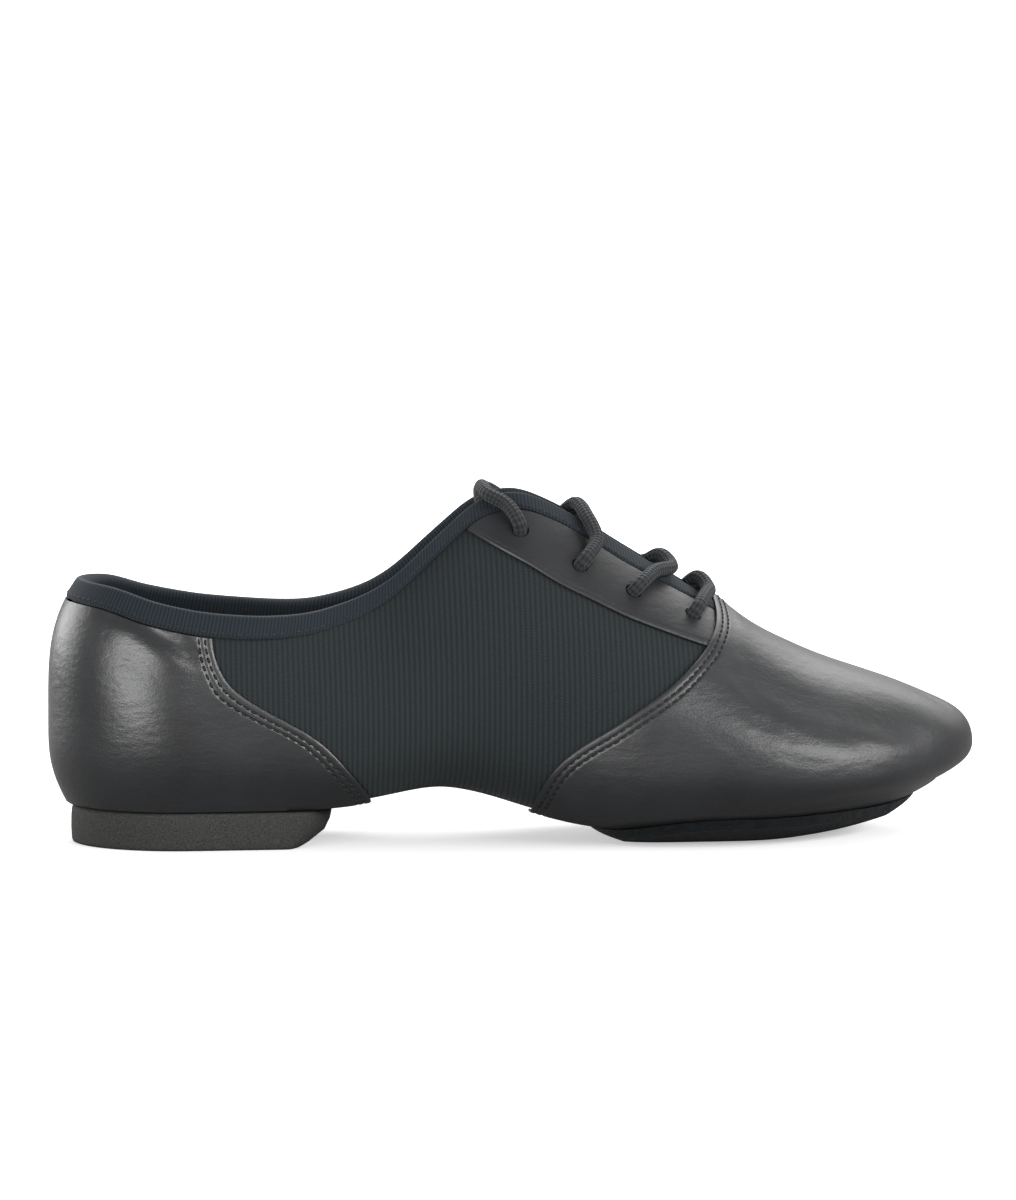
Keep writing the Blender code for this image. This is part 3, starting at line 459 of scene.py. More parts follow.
def run_lengths(points, axis):
    """Distances in millimetres along the rows or columns of a grid of points."""
    steps = np.linalg.norm(np.diff(points, axis=axis), axis=-1) / MM
    shape = list(points.shape[:-1])
    shape[axis] = 1
    return np.concatenate([np.zeros(shape), np.cumsum(steps, axis=axis)], axis=axis)


# The part's solids are centred on the middle of their box, so the form is moved like them
form_sides = [
    place(np.linspace(0, 1, 400)[:, None], side, np.linspace(1.6, 2.4, 30), SKIN) for side in SIDES
]
form_y = np.concatenate([points[..., 1].ravel() for points in form_sides])
ORIGIN = np.array((LENGTH / 2, (form_y.min() + form_y.max()) / 2, 0.0))


def linear(colour):
    """A colour written in sRGB hex as linear red, green, blue and alpha."""
    shares = [int(colour[i : i + 2], 16) / 255 for i in (1, 3, 5)]
    return [s / 12.92 if s <= 0.04045 else ((s + 0.055) / 1.055) ** 2.4 for s in shares] + [1.0]


def add(tree, kind, inputs, **settings):
    """Adds a shader node with its settings, and with values or links for its inputs."""
    made = tree.nodes.new("ShaderNode" + kind)
    for name, value in settings.items():
        setattr(made, name, value)
    for name, value in inputs.items():
        if isinstance(value, bpy.types.NodeSocket):
            tree.links.new(value, made.inputs[name])
        else:
            made.inputs[name].default_value = value
    return made


def new_material(name, colour, **constants):
    """A material, its node tree and its shader, whose own sockets hold the constants."""
    made = bpy.data.materials.new(name)
    made.use_nodes = True
    shader = made.node_tree.nodes["Principled BSDF"]
    shader.inputs["Base Color"].default_value = linear(colour)
    for key, value in constants.items():
        shader.inputs[key.replace("_", " ")].default_value = value
    return made, made.node_tree, shader


def shell(name, grids, outer_material, inner_material, slot, *nodes):
    """A closed skin of even build from grids of (outer, inner, uv), with a rim round each edge."""
    outer, inner, uv = (
        np.concatenate([grid[i].reshape(-1, grid[i].shape[-1]) for grid in grids]) for i in range(3)
    )
    keys = np.round(outer / (0.01 * MM)).astype(np.int64)
    _, first, index = np.unique(keys, axis=0, return_index=True, return_inverse=True)
    index = index.ravel()
    count, start, faces, edges = len(first), 0, [], {}
    for grid in grids:
        rows, columns = grid[0].shape[:2]
        ids = index[start : start + rows * columns].reshape(rows, columns)
        start += rows * columns
        quads = np.stack([ids[:-1, :-1], ids[:-1, 1:], ids[1:, 1:], ids[1:, :-1]], -1).reshape(-1, 4)
        faces += [list(dict.fromkeys(quad)) for quad in quads.tolist()]
    faces = [face for face in faces if len(face) > 2]
    for face in faces:
        for a, b in zip(face, face[1:] + face[:1]):
            edges.setdefault((min(a, b), max(a, b)), []).append((a, b))
    rims = [uses[0] for uses in edges.values() if len(uses) == 1]
    inside = [[corner + count for corner in reversed(face)] for face in faces]
    rim_faces = [[b, a, a + count, b + count] for a, b in rims]
    points = np.concatenate([outer[first], inner[first]]) - ORIGIN
    made = solid(name, points, faces + inside + rim_faces, outer_material, slot, *nodes)
    made.data.materials.append(inner_material)
    indices = [0] * len(faces) + [1] * len(inside) + [0] * len(rim_faces)
    made.data.polygons.foreach_set("material_index", indices)
    lay_uv(made, np.concatenate([uv[first], uv[first]]))
    return made


def lay_uv(made, uv):
    """Gives each corner of the mesh the uv of its vertex, in millimetres on the piece."""
    layer = made.data.uv_layers.new(name="UVMap")
    vertices = np.zeros(len(made.data.loops), int)
    made.data.loops.foreach_get("vertex_index", vertices)
    layer.data.foreach_set("uv", uv[vertices].ravel())


def outward_mesh(name, points, faces):
    """A mesh with all its faces turned outwards."""
    mesh = bpy.data.meshes.new(name)
    mesh.from_pydata(np.asarray(points).tolist(), [], faces)
    work = bmesh.new()
    work.from_mesh(mesh)
    bmesh.ops.recalc_face_normals(work, faces=work.faces)
    work.to_mesh(mesh)
    work.free()
    return mesh


def solid(name, points, faces, material, slot, *nodes):
    """A smooth-shaded mesh that rides on the shoe and stands for the part's nodes."""
    mesh = outward_mesh(name, points, faces)
    mesh.shade_smooth()
    mesh.set_sharp_from_angle(angle=math.radians(50))
    made = bpy.data.objects.new(name, mesh)
    bpy.context.scene.collection.objects.link(made)
    made.data.materials.append(material)
    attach(made, "root")
    if nodes:
        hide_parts(*nodes)
    return made


vamp_start = {side: edge_station(vamp_edge, INSTEP_HEIGHT, side) for side in SIDES}
counter_end = {side: edge_station(counter_edge, BACK_HEIGHT, side) for side in SIDES}

# matt and slightly fuzzy, so that it only darkens and lightens with its ribs and their painted light and
# shade
stretch, tree, shader = new_material(
    "ribbed elastic, matt blue-black",
    "#1f2628",
    Roughness=0.82,
    Specular_IOR_Level=0.22,
    Sheen_Weight=0.06,
    Sheen_Roughness=0.5,
)
RIB_PITCH = 1.4
KNIT_PITCH = 0.8
surface = add(tree, "TexCoord", {})
split = add(tree, "SeparateXYZ", {0: surface.outputs["UV"]})
# each rib rounds up between two narrow valleys, with painted light on its crest and painted shade in
# the valleys, which the eye reads as upright lines; the pitches are in millimetres, a little coarser
# than the real knit's so that they show
phase = add(tree, "Math", {0: split.outputs["X"], 1: 2 * math.pi / RIB_PITCH}, operation="MULTIPLY")
wave = add(tree, "Math", {0: phase.outputs[0]}, operation="SINE")
rib = add(tree, "MapRange", {"Value": wave.outputs[0], "From Min": -1.0, "From Max": 0.6})
knit_phase = add(tree, "Math", {0: split.outputs["Y"], 1: 2 * math.pi / KNIT_PITCH}, operation="MULTIPLY")
knit = add(tree, "Math", {0: knit_phase.outputs[0]}, operation="SINE")
fuzz = add(
    tree, "TexNoise", {"Vector": surface.outputs["UV"], "Scale": 2.2, "Detail": 4.0, "Roughness": 0.7}
)
# painted light and shade: the colour runs from dark in the rib's valleys to light on its crest
shade = add(tree, "Mix", {0: rib.outputs[0], 6: linear("#1b2021"), 7: linear("#252b2d")}, data_type="RGBA")
worn = add(
    tree, "MapRange",
    {"Value": fuzz.outputs["Fac"], "From Min": 0.3, "From Max": 0.7, "To Min": 0.75, "To Max": 1.25},
)
colour = add(
    tree, "Mix", {0: 1.0, 6: shade.outputs[2], 7: worn.outputs[0]}, data_type="RGBA", blend_type="MULTIPLY"
)
tree.links.new(colour.outputs[2], shader.inputs["Base Color"])
height = add(tree, "Math", {0: knit.outputs[0], 1: 0.18, 2: rib.outputs[0]}, operation="MULTIPLY_ADD")
fluff = add(tree, "Math", {0: fuzz.outputs["Fac"], 1: 0.8, 2: height.outputs[0]}, operation="MULTIPLY_ADD")
bump = add(tree, "Bump", {"Height": fluff.outputs[0], "Strength": 0.55, "Distance": 0.25 * MM})
tree.links.new(bump.outputs["Normal"], shader.inputs["Normal"])

# plain weave that swallows the light inside the shoe
lining, tree, shader = new_material(
    "lining cloth, matt black", "#16191a", Roughness=0.9, Specular_IOR_Level=0.2
)
surface = add(tree, "TexCoord", {})
weave = add(tree, "TexNoise", {"Vector": surface.outputs["UV"], "Scale": 3.0, "Detail": 3.0})
bump = add(tree, "Bump", {"Height": weave.outputs["Fac"], "Strength": 0.4, "Distance": 0.15 * MM})
tree.links.new(bump.outputs["Normal"], shader.inputs["Normal"])


def ease(count):
    """Shares from 0 to 1, closer together at both ends."""
    return 0.5 - 0.5 * np.cos(np.pi * np.linspace(0, 1, count))


def upper_grid(side):
    # the body sinks a little where leather covers it, so that creases have room
    along = np.concatenate([ease(420), [THROAT_OPEN, THROAT_SHUT]])
    along = np.sort(along)[:, None]
    under, wall, over = np.linspace(0, 1, 14)[:-1], np.linspace(1, 2, 26)[:-1], np.linspace(2, TOP, 34)
    girth = np.concatenate([under, wall, over])[None]
    along, girth = np.broadcast_arrays(along, girth)
    under_vamp = smooth_step(3 * MM, 7 * MM, (along - vamp_start[side](girth)) * LENGTH)
    under_counter = smooth_step(3 * MM, 7 * MM, (counter_end[side](girth) - along) * LENGTH)
    out = -0.8 * MM * np.maximum(under_vamp, under_counter) * smooth_step(0.9, 1.2, girth)
    out = out * smooth_step(0.0, 0.02, 3.02 - girth + 0.02)
    outer, inner = place(along, side, girth, out), place(along, side, girth, -WALL)
    uv = np.stack([outer[..., 0] / MM, run_lengths(outer[:, ::-1], 1)[:, ::-1]], -1)
    return outer, inner, uv


upper = shell("upper_body", [upper_grid(side) for side in SIDES], stretch, lining, "stretch", "upper")

# the eyelets from the top down: share of the length, depth below the edge, then how far towards
# the toe its lace has gone half way up, at the edge, over the gap's middle, and past it
EYELETS = (
    (0.500, 12.4, -3.0, -7.6, -8.6, -9.6),
    (0.559, 17.8, 4.4, 2.6, 0.0, -3.0),
    (0.614, 17.7, 6.0, 12.4, 9.6, 5.4),
    (0.677, 15.9, 3.6, 6.2, 3.6, 0.6),
)
EYELET_RADIUS = 2.3 * MM


def cut(piece, outlines):
    """Cuts prisms, given as pairs of outlines, out of a piece."""
    points, faces = [], []
    for low, high in outlines:
        count, start = len(low), len(points)
        points += list(low) + list(high)
        ring = [start + i for i in range(count)]
        faces += [ring[::-1], [i + count for i in ring]]
        faces += [[a, b, b + count, a + count] for a, b in zip(ring, ring[1:] + ring[:1])]
    mesh = outward_mesh("cutter", np.array(points) - ORIGIN, faces)
    cutter = bpy.data.objects.new("cutter", mesh)
    bpy.context.scene.collection.objects.link(cutter)
    boolean = piece.modifiers.new("punch", "BOOLEAN")
    boolean.object = cutter
    boolean.solver = "EXACT"
    boolean.material_mode = "INDEX"
    evaluated = piece.evaluated_get(bpy.context.evaluated_depsgraph_get())
    punched = bpy.data.meshes.new_from_object(evaluated)
    piece.modifiers.remove(boolean)
    piece.data = punched
    bpy.data.objects.remove(cutter)


def punches(side):
    """The round holes of one row of eyelets."""
    outlines = []
    for x, depth, *_ in EYELETS:
        along = np.array(along_of(x * LENGTH))
        girth = girth_below(along, side, depth * MM)
        centre, normal = place(along, side, girth), facing(along, side, girth)
        across = np.cross(normal, (0, 0, 1.0))
        across /= np.linalg.norm(across)
        up = np.cross(across, normal)
        angles = np.linspace(0, 2 * np.pi, 29)[:-1, None]
        ring = EYELET_RADIUS * (np.cos(angles) * across + np.sin(angles) * up)
        outlines.append((centre + ring - 4 * MM * normal, centre + ring + 4 * MM * normal))
    return outlines


def opening(start, end, floor):
    """An opening under the foot that a sole closes."""
    angles = np.linspace(0, 2 * np.pi, 49)[:-1]
    along = 0.5 * (start + end) - 0.5 * (end - start) * np.cos(angles)
    outline = []
    for a, turn in zip(along, angles):
        side = MEDIAL if math.sin(turn) > 0 else LATERAL
        reach = 0.40 * feather_half(a, side) * abs(math.sin(turn)) ** 0.7
        outline.append((form_x(FEATHER_BACK, FEATHER_FRONT, a), middle(a) + side * reach, 0.0))
    outline = np.array(outline)
    return outline + (0, 0, floor - 6 * MM), outline + (0, 0, floor + 9 * MM)


cut(
    upper,
    punches(LATERAL) + punches(MEDIAL) + [opening(0.045, 0.255, SEAT), opening(0.640, 0.900, TREAD)],
)


# Vamp: the leather toe piece, one hide drawn over the last and under it, with a raw edge and two
# rows of black stitching along it. Soft black leather with a grey sheen, creased where it flexes.
LAP = 1.4 * GAP
MARGIN = 0.45


def leather(name, colour, sheen, roughness):
    """Soft dyed hide under a thin satin finish: broad soft lights, broken by grain and wrinkles.

    Grain is 0.7 mm across, pores 1.4 mm and wrinkles 4 mm, each drawn a little coarser than real.
    """
    made, tree, shader = new_material(
        name, colour, Roughness=roughness, Coat_Weight=sheen, Coat_Roughness=0.4, IOR=1.5
    )
    surface = add(tree, "TexCoord", {})
    grain = add(tree, "TexVoronoi", {"Vector": surface.outputs["Object"], "Scale": 1500.0}, feature="F1")
    pores = add(tree, "TexNoise", {"Vector": surface.outputs["Object"], "Scale": 700.0, "Detail": 3.0})
    stretched = add(tree, "Mapping", {"Vector": surface.outputs["Object"], "Scale": (0.6, 1.0, 1.6)})
    wrinkle = add(
        tree, "TexNoise", {"Vector": stretched.outputs[0], "Scale": 260.0, "Detail": 5.0, "Roughness": 0.6}
    )
    cloud = add(tree, "TexNoise", {"Vector": surface.outputs["Object"], "Scale": 60.0, "Detail": 3.0})
    tone = add(
        tree, "MapRange",
        {"Value": cloud.outputs["Fac"], "From Min": 0.3, "From Max": 0.7, "To Min": 0.82, "To Max": 1.2},
    )
    dyed = add(
        tree, "Mix", {0: 1.0, 6: linear(colour), 7: tone.outputs[0]}, data_type="RGBA",
        blend_type="MULTIPLY",
    )
    tree.links.new(dyed.outputs[2], shader.inputs["Base Color"])
    gloss = add(
        tree, "MapRange",
        {"Value": cloud.outputs["Fac"], "To Min": roughness - 0.06, "To Max": roughness + 0.08},
    )
    tree.links.new(gloss.outputs[0], shader.inputs["Roughness"])
    low = add(tree, "Bump", {"Height": wrinkle.outputs["Fac"], "Strength": 0.34, "Distance": 0.5 * MM})
    mid = add(
        tree, "Bump",
        {"Height": pores.outputs["Fac"], "Strength": 0.3, "Distance": 0.12 * MM, "Normal": low.outputs[0]},
    )
    fine = add(
        tree, "Bump",
        {
            "Height": grain.outputs["Distance"], "Strength": 0.3, "Distance": 0.06 * MM,
            "Normal": mid.outputs[0],
        },
    )
    tree.links.new(fine.outputs[0], shader.inputs["Normal"])
    tree.links.new(fine.outputs[0], shader.inputs["Coat Normal"])
    return made


vamp_leather = leather("soft black leather, satin, vamp", "#202123", 0.36, 0.42)
# the rough flesh side is duller than the grain, and waxed thread darker and a little shiny
flesh = new_material("flesh side of the leather, matt", "#232425", Roughness=0.9)[0]
thread = new_material("sewing thread, black", "#0d0e0f", Roughness=0.55)[0]

# pitch, length and radius of a stitch
STITCH = (2.35 * MM, 1.7 * MM, 0.27 * MM)
# millimetres from the raw edge to each row of stitching, and to each row of the leather's mesh
STITCH_ROWS = (1.8, 3.5)
INSETS = np.array(
    (
        0, 0.1, 0.25, 0.5, 0.8, 1.1, 1.35, 1.55, 1.7, 1.8, 1.9, 2.05, 2.25, 2.5, 2.8, 3.05, 3.25, 3.4, 3.5,
        3.6, 3.75, 3.95, 4.25, 4.7, 5.3, 6.0,
    )
)
# rise of the vamp's edge over facing and tape, and the millimetres in which it falls
VAMP_RAISE = 1.05 * MM
VAMP_SLOPE = 9.0
# creases of the vamp: width, height (a trough below 0), places from the heel's back and the floor
VAMP_CREASES = (
    (
        7.5, -0.95,
        (
            (175.8, 49.5), (184.5, 45.6), (194.2, 40.7), (204.8, 35.8), (216.0, 32.3), (225.5, 29.2),
            (235.3, 26.4),
        ),
    ),
    (8.0, 0.5, ((182.2, 54.9), (199.8, 49.1), (217.8, 41.1), (232.8, 33.3), (240.9, 27.9))),
    (3.5, 0.45, ((213.2, 30.3), (223.4, 26.1), (231.1, 24.1))),
    (8.0, 0.45, ((175.1, 43.4), (180.1, 34.6), (196.8, 28.9), (209.1, 25.6), (227.0, 22.3))),
    (6.0, -0.6, ((158.4, 32.7), (166.8, 27.7), (175.7, 23.0))),
    (2.2, -0.3, ((232.7, 37.1), (238.8, 34.2), (243.1, 31.6))),
    (3.0, -0.4, ((172.3, 53.1), (176.1, 48.6), (182.6, 46.5))),
    (1.0, -0.22, ((188.7, 34.4), (193.3, 31.8), (196.8, 29.4))),
    (1.1, -0.2, ((200.7, 31.7), (206.8, 30.8), (212.4, 28.2))),
    (1.3, -0.25, ((180.9, 38.6), (186.1, 34.6), (190.9, 32.1))),
    (0.9, -0.18, ((179.1, 51.5), (182.8, 50.9), (186.5, 48.9))),
    (1.4, -0.25, ((182.1, 45.6), (185.3, 39.8), (192.2, 36.4))),
    (1.2, -0.22, ((171.1, 33.3), (176.7, 30.4), (182.5, 25.8))),
    (1.0, -0.2, ((192.3, 25.9), (198.8, 23.7), (204.9, 23.0))),
)


def relief(points, creases):
    """How far troughs and ridges lift each point; a crease is (width, height, its line of points)."""
    lift = np.zeros(points.shape[:-1])
    flat = points.reshape(-1, 3)
    for width, height, line in creases:
        nearest = np.full(len(flat), 1e9)
        fade = np.zeros(len(flat))
        for i, (start, end) in enumerate(zip(line, line[1:])):
            run = end - start
            share = np.clip((flat - start) @ run / max(run @ run, 1e-12), 0, 1)
            distance = np.linalg.norm(flat - start - share[:, None] * run, axis=1)
            closer = distance < nearest
            nearest = np.where(closer, distance, nearest)
            fade = np.where(closer, (i + share) / (len(line) - 1), fade)
        swell = np.sqrt(np.clip(np.sin(np.pi * (0.04 + 0.92 * fade)), 0, 1))
        lift += (height * swell * np.exp(-((nearest / width) ** 2))).reshape(lift.shape)
    return lift


def on_side(table, side):
    """Crease lines on the form, from places given as millimetres from the heel's back and the floor."""
    stations, girths = np.linspace(0.0, 1.0, 500)[:, None], np.linspace(1.0, 3.0, 220)[None]
    points = base(stations, side, girths).reshape(-1, 3)
    lines = []
    for width, height, places in table:
        line = []
        for x, z in places:
            gap = np.hypot(points[:, 0] - x * MM, points[:, 2] - z * MM)
            line.append(points[np.argmin(gap)])
        lines.append((width * MM, height * MM, np.array(line)))
    return lines


def lasted(along, girth):
    """Girths of a hide's rows, whose lasting margin under the foot narrows towards both ends."""
    from_end = np.minimum(along, 1 - along)
    under = MARGIN * np.sqrt(np.clip((from_end - 0.035) / 0.05, 0, 1))
    return np.where(girth < 1, under + (girth - MARGIN) / (1 - MARGIN) * (1 - under), girth)


def tube_faces(start, rings, corners):
    """Faces between closed rings of points, with a cap at each end."""
    faces = []
    for ring in range(start, start + (rings - 1) * corners, corners):
        for c in range(corners):
            after = (c + 1) % corners
            faces.append([ring + c, ring + after, ring + corners + after, ring + corners + c])
    faces.append([start + c for c in reversed(range(corners))])
    faces.append([start + (rings - 1) * corners + c for c in range(corners)])
    return faces


def stitch_row(name, line, normals, pitch, length, radius, material, slot):
    """A row of thread stitches along a line on a surface, each sinking into it at both ends."""
    reach = run_lengths(line, 0) * MM
    count = max(2, int(reach[-1] / pitch))
    rings = (
        (-0.5, 0.25, -0.16), (-0.42, 0.85, -0.05), (-0.2, 1.0, 0.06), (0.2, 1.0, 0.06), (0.42, 0.85, -0.05),
        (0.5, 0.25, -0.16),
    )
    corners = 6
    points, faces = [], []
    for i in range(count):
        centre = reach[-1] * (i + 0.5) / count
        start = len(points)
        for share, thick, lift in rings:
            at = centre + share * length
            spot = np.array([np.interp(at, reach, line[:, k]) for k in range(3)])
            up = np.array([np.interp(at, reach, normals[:, k]) for k in range(3)])
            ahead = np.array([np.interp(at + 0.1 * MM, reach, line[:, k]) for k in range(3)]) - spot
            across = np.cross(up, ahead)
            across /= max(np.linalg.norm(across), 1e-12)
            for c in range(corners):
                angle = 2 * math.pi * c / corners
                aside = across * radius * thick * math.cos(angle)
                points.append(spot + up * (lift * MM + radius * thick * math.sin(angle)) + aside)
        faces += tube_faces(start, len(rings), corners)
    return solid(name, np.array(points) - ORIGIN, faces, material, slot)


def trench(inset):
    """A leather's face beside its raw edge: rounded at the edge, with a groove under each row."""
    face = -0.22 * MM * np.exp(-((inset / 0.22) ** 2))
    for row in STITCH_ROWS:
        face = face - 0.2 * MM * np.exp(-(((inset - row) / 0.32) ** 2))
    return face


def inset_scale(start, side, girth):
    """How far the station moves for each metre square to a raw edge."""
    edge = base(start, side, girth)
    tangent = np.gradient(edge, axis=-2)
    tangent /= np.maximum(np.linalg.norm(tangent, axis=-1, keepdims=True), 1e-12)
    lengthwise = (base(start + 1e-3, side, girth) - base(start - 1e-3, side, girth)) / 2e-3
    return 1 / np.maximum(np.linalg.norm(np.cross(lengthwise, tangent), axis=-1), 0.08)


def vamp_places(side, insets):
    """Stations and girths of the vamp's rows: beside its raw edge, then on to the toe."""
    girth = np.concatenate(
        [np.linspace(MARGIN, 1, 8)[:-1], np.linspace(1, 2, 30)[:-1], np.linspace(2, TOP, 46)]
    )
    rows = {}
    for each in SIDES:
        start = vamp_start[each](girth)
        step = np.minimum(inset_scale(start, each, girth), 2.2 / LENGTH)
        rows[each] = start[None] + insets[:, None] * MM * step[None]
    # the two sides meet over the ridge
    rows[side][:, -1] = 0.5 * (rows[LATERAL][:, -1] + rows[MEDIAL][:, -1])
    return girth, rows[side]


def vamp_faces(side, along, girth, inset, *outs):
    """Rows of the vamp at these distances off the form, carried over the throat's end."""
    ridge = 0.5 * sum(base(along[:, -1:], each, TOP) for each in SIDES)
    lift = relief(base(along, side, girth), vamp_creases[side])
    lift[:, -1:] = 0.5 * sum(relief(ridge, vamp_creases[each]) for each in SIDES)
    # over the facing and the tape the leather lies higher, and slopes down from them
    lift = lift + VAMP_RAISE * np.exp(-((inset / VAMP_SLOPE) ** 2)) * smooth_step(1.8, 2.5, girth)
    faces = []
    for out in outs:
        points = place(along, side, girth, lift + out)
        tops = [place(along[:, -1:], each, TOP, (lift + out)[:, -1:]) for each in SIDES]
        rise = 0.1 * np.linalg.norm(tops[1] - tops[0], axis=-1)[..., None] * (0, 0, 1.0)
        share = np.linspace(0, 1, 7)[1:, None]
        top = points[:, -1:]
        over = top + (0.5 * (tops[0] + tops[1]) - top) * share + rise * (1 - (1 - share) ** 2)
        faces.append(np.concatenate([points, over], axis=1))
    return faces


def vamp_grid(side):
    girth, edge_rows = vamp_places(side, INSETS)
    last = edge_rows[-1:]
    share = np.sin(0.5 * np.pi * np.linspace(0, 1, 130))[1:, None]
    along = np.concatenate([edge_rows, last + (1 - last) * share])
    inset = INSETS[-1] * (along - along[:1]) / (last - along[:1])
    at = lasted(along, np.broadcast_to(girth, along.shape))
    outer, inner = vamp_faces(side, along, at, inset, SKIN + trench(inset), LAP + 0 * inset)
    uv = np.stack([outer[..., 0] / MM, run_lengths(outer[:, ::-1], 1)[:, ::-1]], -1)
    return outer, inner, uv


vamp_creases = {side: on_side(VAMP_CREASES, side) for side in SIDES}
shell("vamp_leather", [vamp_grid(side) for side in SIDES], vamp_leather, flesh, "vamp", "vamp")
for number, inset in enumerate(STITCH_ROWS, 1):
    line, normals = [], []
    for side in SIDES:
        girth, rows = vamp_places(side, np.array([inset]))
        keep = girth >= 1
        girth, along = girth[keep], rows[0][keep]
        points = vamp_faces(side, along[None], girth[None], inset, SKIN - 0.1 * MM)[0][0]
        up = facing(along, side, girth)
        up = np.concatenate([up, np.linspace(up[-1], (0, 0, 1), 7)[1:]])
        line.append(points[:: -side])
        normals.append(up[:: -side])
    stitches = np.concatenate(line), np.concatenate(normals), *STITCH
    stitch_row(f"vamp_stitches_{number}", *stitches, thread, "vamp")


# Counter: the leather heel piece, one hide round the back of the foot and under the seat, with
# the same raw edge and stitching. It ends under the binding.
# the same hide as the vamp's, drawn tight, so a little darker and shinier
counter_leather = leather("soft black leather, satin, counter", "#1c1d1f", 0.5, 0.36)


BINDING_OUTSIDE = 5.2 * MM
BINDING_FLARE = 1.6 * MM


def tape_reach(along):
    """How far down the outside the binding's tape lies; it was folded wider towards the toe."""
    return BINDING_OUTSIDE + BINDING_FLARE * smooth_step(0.54, 0.64, along)


# creases of the counter, given in the same way as the vamp's
COUNTER_CREASES = (
    (2.2, -0.7, ((14.6, 63.3), (22.3, 61.3), (29.3, 57.3), (36.4, 53.1), (39.4, 51.5))),
    (4.0, 0.6, ((15.5, 59.8), (22.3, 57.7), (28.5, 53.1), (33.7, 49.7))),
    (2.2, 0.3, ((26.0, 61.7), (34.1, 58.3), (38.8, 54.9))),
    (6.0, -0.3, ((38.9, 41.4), (48.1, 31.9), (55.3, 22.3))),
)
stations = np.linspace(0, 0.6, 160)
collar_girth = {side: girth_below(stations, side, tape_reach(stations) + 2 * GAP) for side in SIDES}


def counter_places(side, insets, share):
    """Stations and girths of the counter's rows, from its raw edge back to the heel."""
    fixed = np.concatenate(
        [np.linspace(MARGIN, 1, 8)[:-1], np.linspace(1, 2, 26)[:-1], np.linspace(2, 2.5, 12)]
    )
    climb = np.linspace(0, 1, 12)[1:]
    inset = np.concatenate([insets, np.full(len(share), insets.max())])[:, None] * MM
    left = 1 - np.concatenate([np.zeros(len(insets)), share])[:, None]
    girth = np.tile(np.concatenate([fixed, 2.5 + 0.35 * climb]), (len(inset), 1))
    for _ in range(8):
        edge = counter_end[side](girth)
        along = (edge - inset * np.minimum(inset_scale(edge, side, girth), 2.4 / LENGTH)) * left
        top = np.interp(along, stations, collar_girth[side])
        girth[:, len(fixed) :] = 2.5 + (top[:, len(fixed) :] - 2.5) * climb
    return along, girth


def counter_grid(side):
    share = np.linspace(0, 1, 110)[1:] ** 0.85
    along, spread = counter_places(side, INSETS, share)
    inset = np.concatenate([INSETS, np.full(len(share), 50.0)])[:, None]
    at = lasted(along, spread)
    lift = relief(base(along, side, at), on_side(COUNTER_CREASES, side))
    outer = place(along, side, at, SKIN + lift + trench(inset))
    inner = place(along, side, at, LAP + lift)
    uv = np.stack([outer[..., 0] / MM, run_lengths(outer, 1)], -1)
    return outer, inner, uv


shell(
    "counter_leather", [counter_grid(side) for side in SIDES], counter_leather, flesh, "counter", "counter"
)
for side in SIDES:
    for number, inset in enumerate(STITCH_ROWS, 1):
        along, girth = counter_places(side, np.array([inset]), np.array([]))
        keep = girth[0] >= 1
        along, girth = along[0][keep], girth[0][keep]
        label = "lateral" if side == LATERAL else "medial"
        points, up = place(along, side, girth, SKIN - 0.1 * MM), facing(along, side, girth)
        stitch_row(f"counter_stitches_{label}_{number}", points, up, *STITCH, thread, "counter")


# Eyestays: thin leather facings beside the throat, turned in along their lower seam and punched
# with four plain holes each; smoother and a little greyer than the vamp.
# a duller split leather, with almost no shine
facing_leather = leather("facing leather, satin", "#1c1d1f", 0.15, 0.45)


# Lower seam of an eyestay: share of the length, depth below the throat's edge
EYESTAY_SEAM = (
    (0.446, 5.4 * MM),
    (0.457, 10.2 * MM),
    (0.470, 14.8 * MM),
    (0.489, 19.8 * MM),
    (0.510, 23.4 * MM),
    (0.534, 25.9 * MM),
    (0.572, 27.2 * MM),
    (0.603, 27.5 * MM),
    (0.635, 27.2 * MM),
    (0.678, 26.5 * MM),
    (0.720, 24.6 * MM),
)
eyestay_seam = Curve(EYESTAY_SEAM, 1)


def eyestay_grid(side):
    rows, columns = 150, 40
    start = EYESTAY_SEAM[0][0] + 0.002
    share = np.linspace(0, 1, rows)[:, None]
    climb = ease(columns)[None]
    x = np.broadcast_to(start + (THROAT_END / LENGTH - start) * share, (rows, columns))
    for _ in range(5):
        top = tape_reach(along_of(x * LENGTH)) + 2 * GAP
        depth = top + np.maximum(0.3 * MM, eyestay_seam(x) - top) * climb
        along = along_of(x * LENGTH)
        girth = girth_below(along, side, depth)
        end = vamp_edge(base(along, side, girth)[..., 2] / INSTEP_HEIGHT) + 2.5 * MM / LENGTH
        x = start + (np.minimum(end, (THROAT_END - 0.5 * MM) / LENGTH) - start) * share
    below = (1 - climb) * (eyestay_seam(x) - top) / MM
    face = -0.35 * MM * np.exp(-((below / 0.5) ** 2)) - 0.16 * MM * np.exp(-(((below - 1.3) / 0.3) ** 2))
    outer = place(along, side, girth, SKIN + face)
    inner = place(along, side, girth, 0.35 * MM)
    uv = np.stack([x * LENGTH / MM, depth / MM], -1)
    return outer, inner, uv


for side, label in zip(SIDES, ("lateral", "medial")):
    made = shell(
        f"eyestay_facing_{label}", [eyestay_grid(side)], facing_leather, flesh, "eyestay",
        f"eyestay_{label}",
    )
    cut(made, punches(side))


# Binding: one grosgrain tape folded over the edge, up one side of the throat, round the collar
# and down the other, with fine ribs across it and one row of stitches near its lower edge.
tape, tree, shader = new_material(
    "grosgrain tape, matt blue-black", "#1f262e", Roughness=0.8, Specular_IOR_Level=0.2, Sheen_Weight=0.08
)
surface = add(tree, "TexCoord", {})
split = add(tree, "SeparateXYZ", {0: surface.outputs["UV"]})
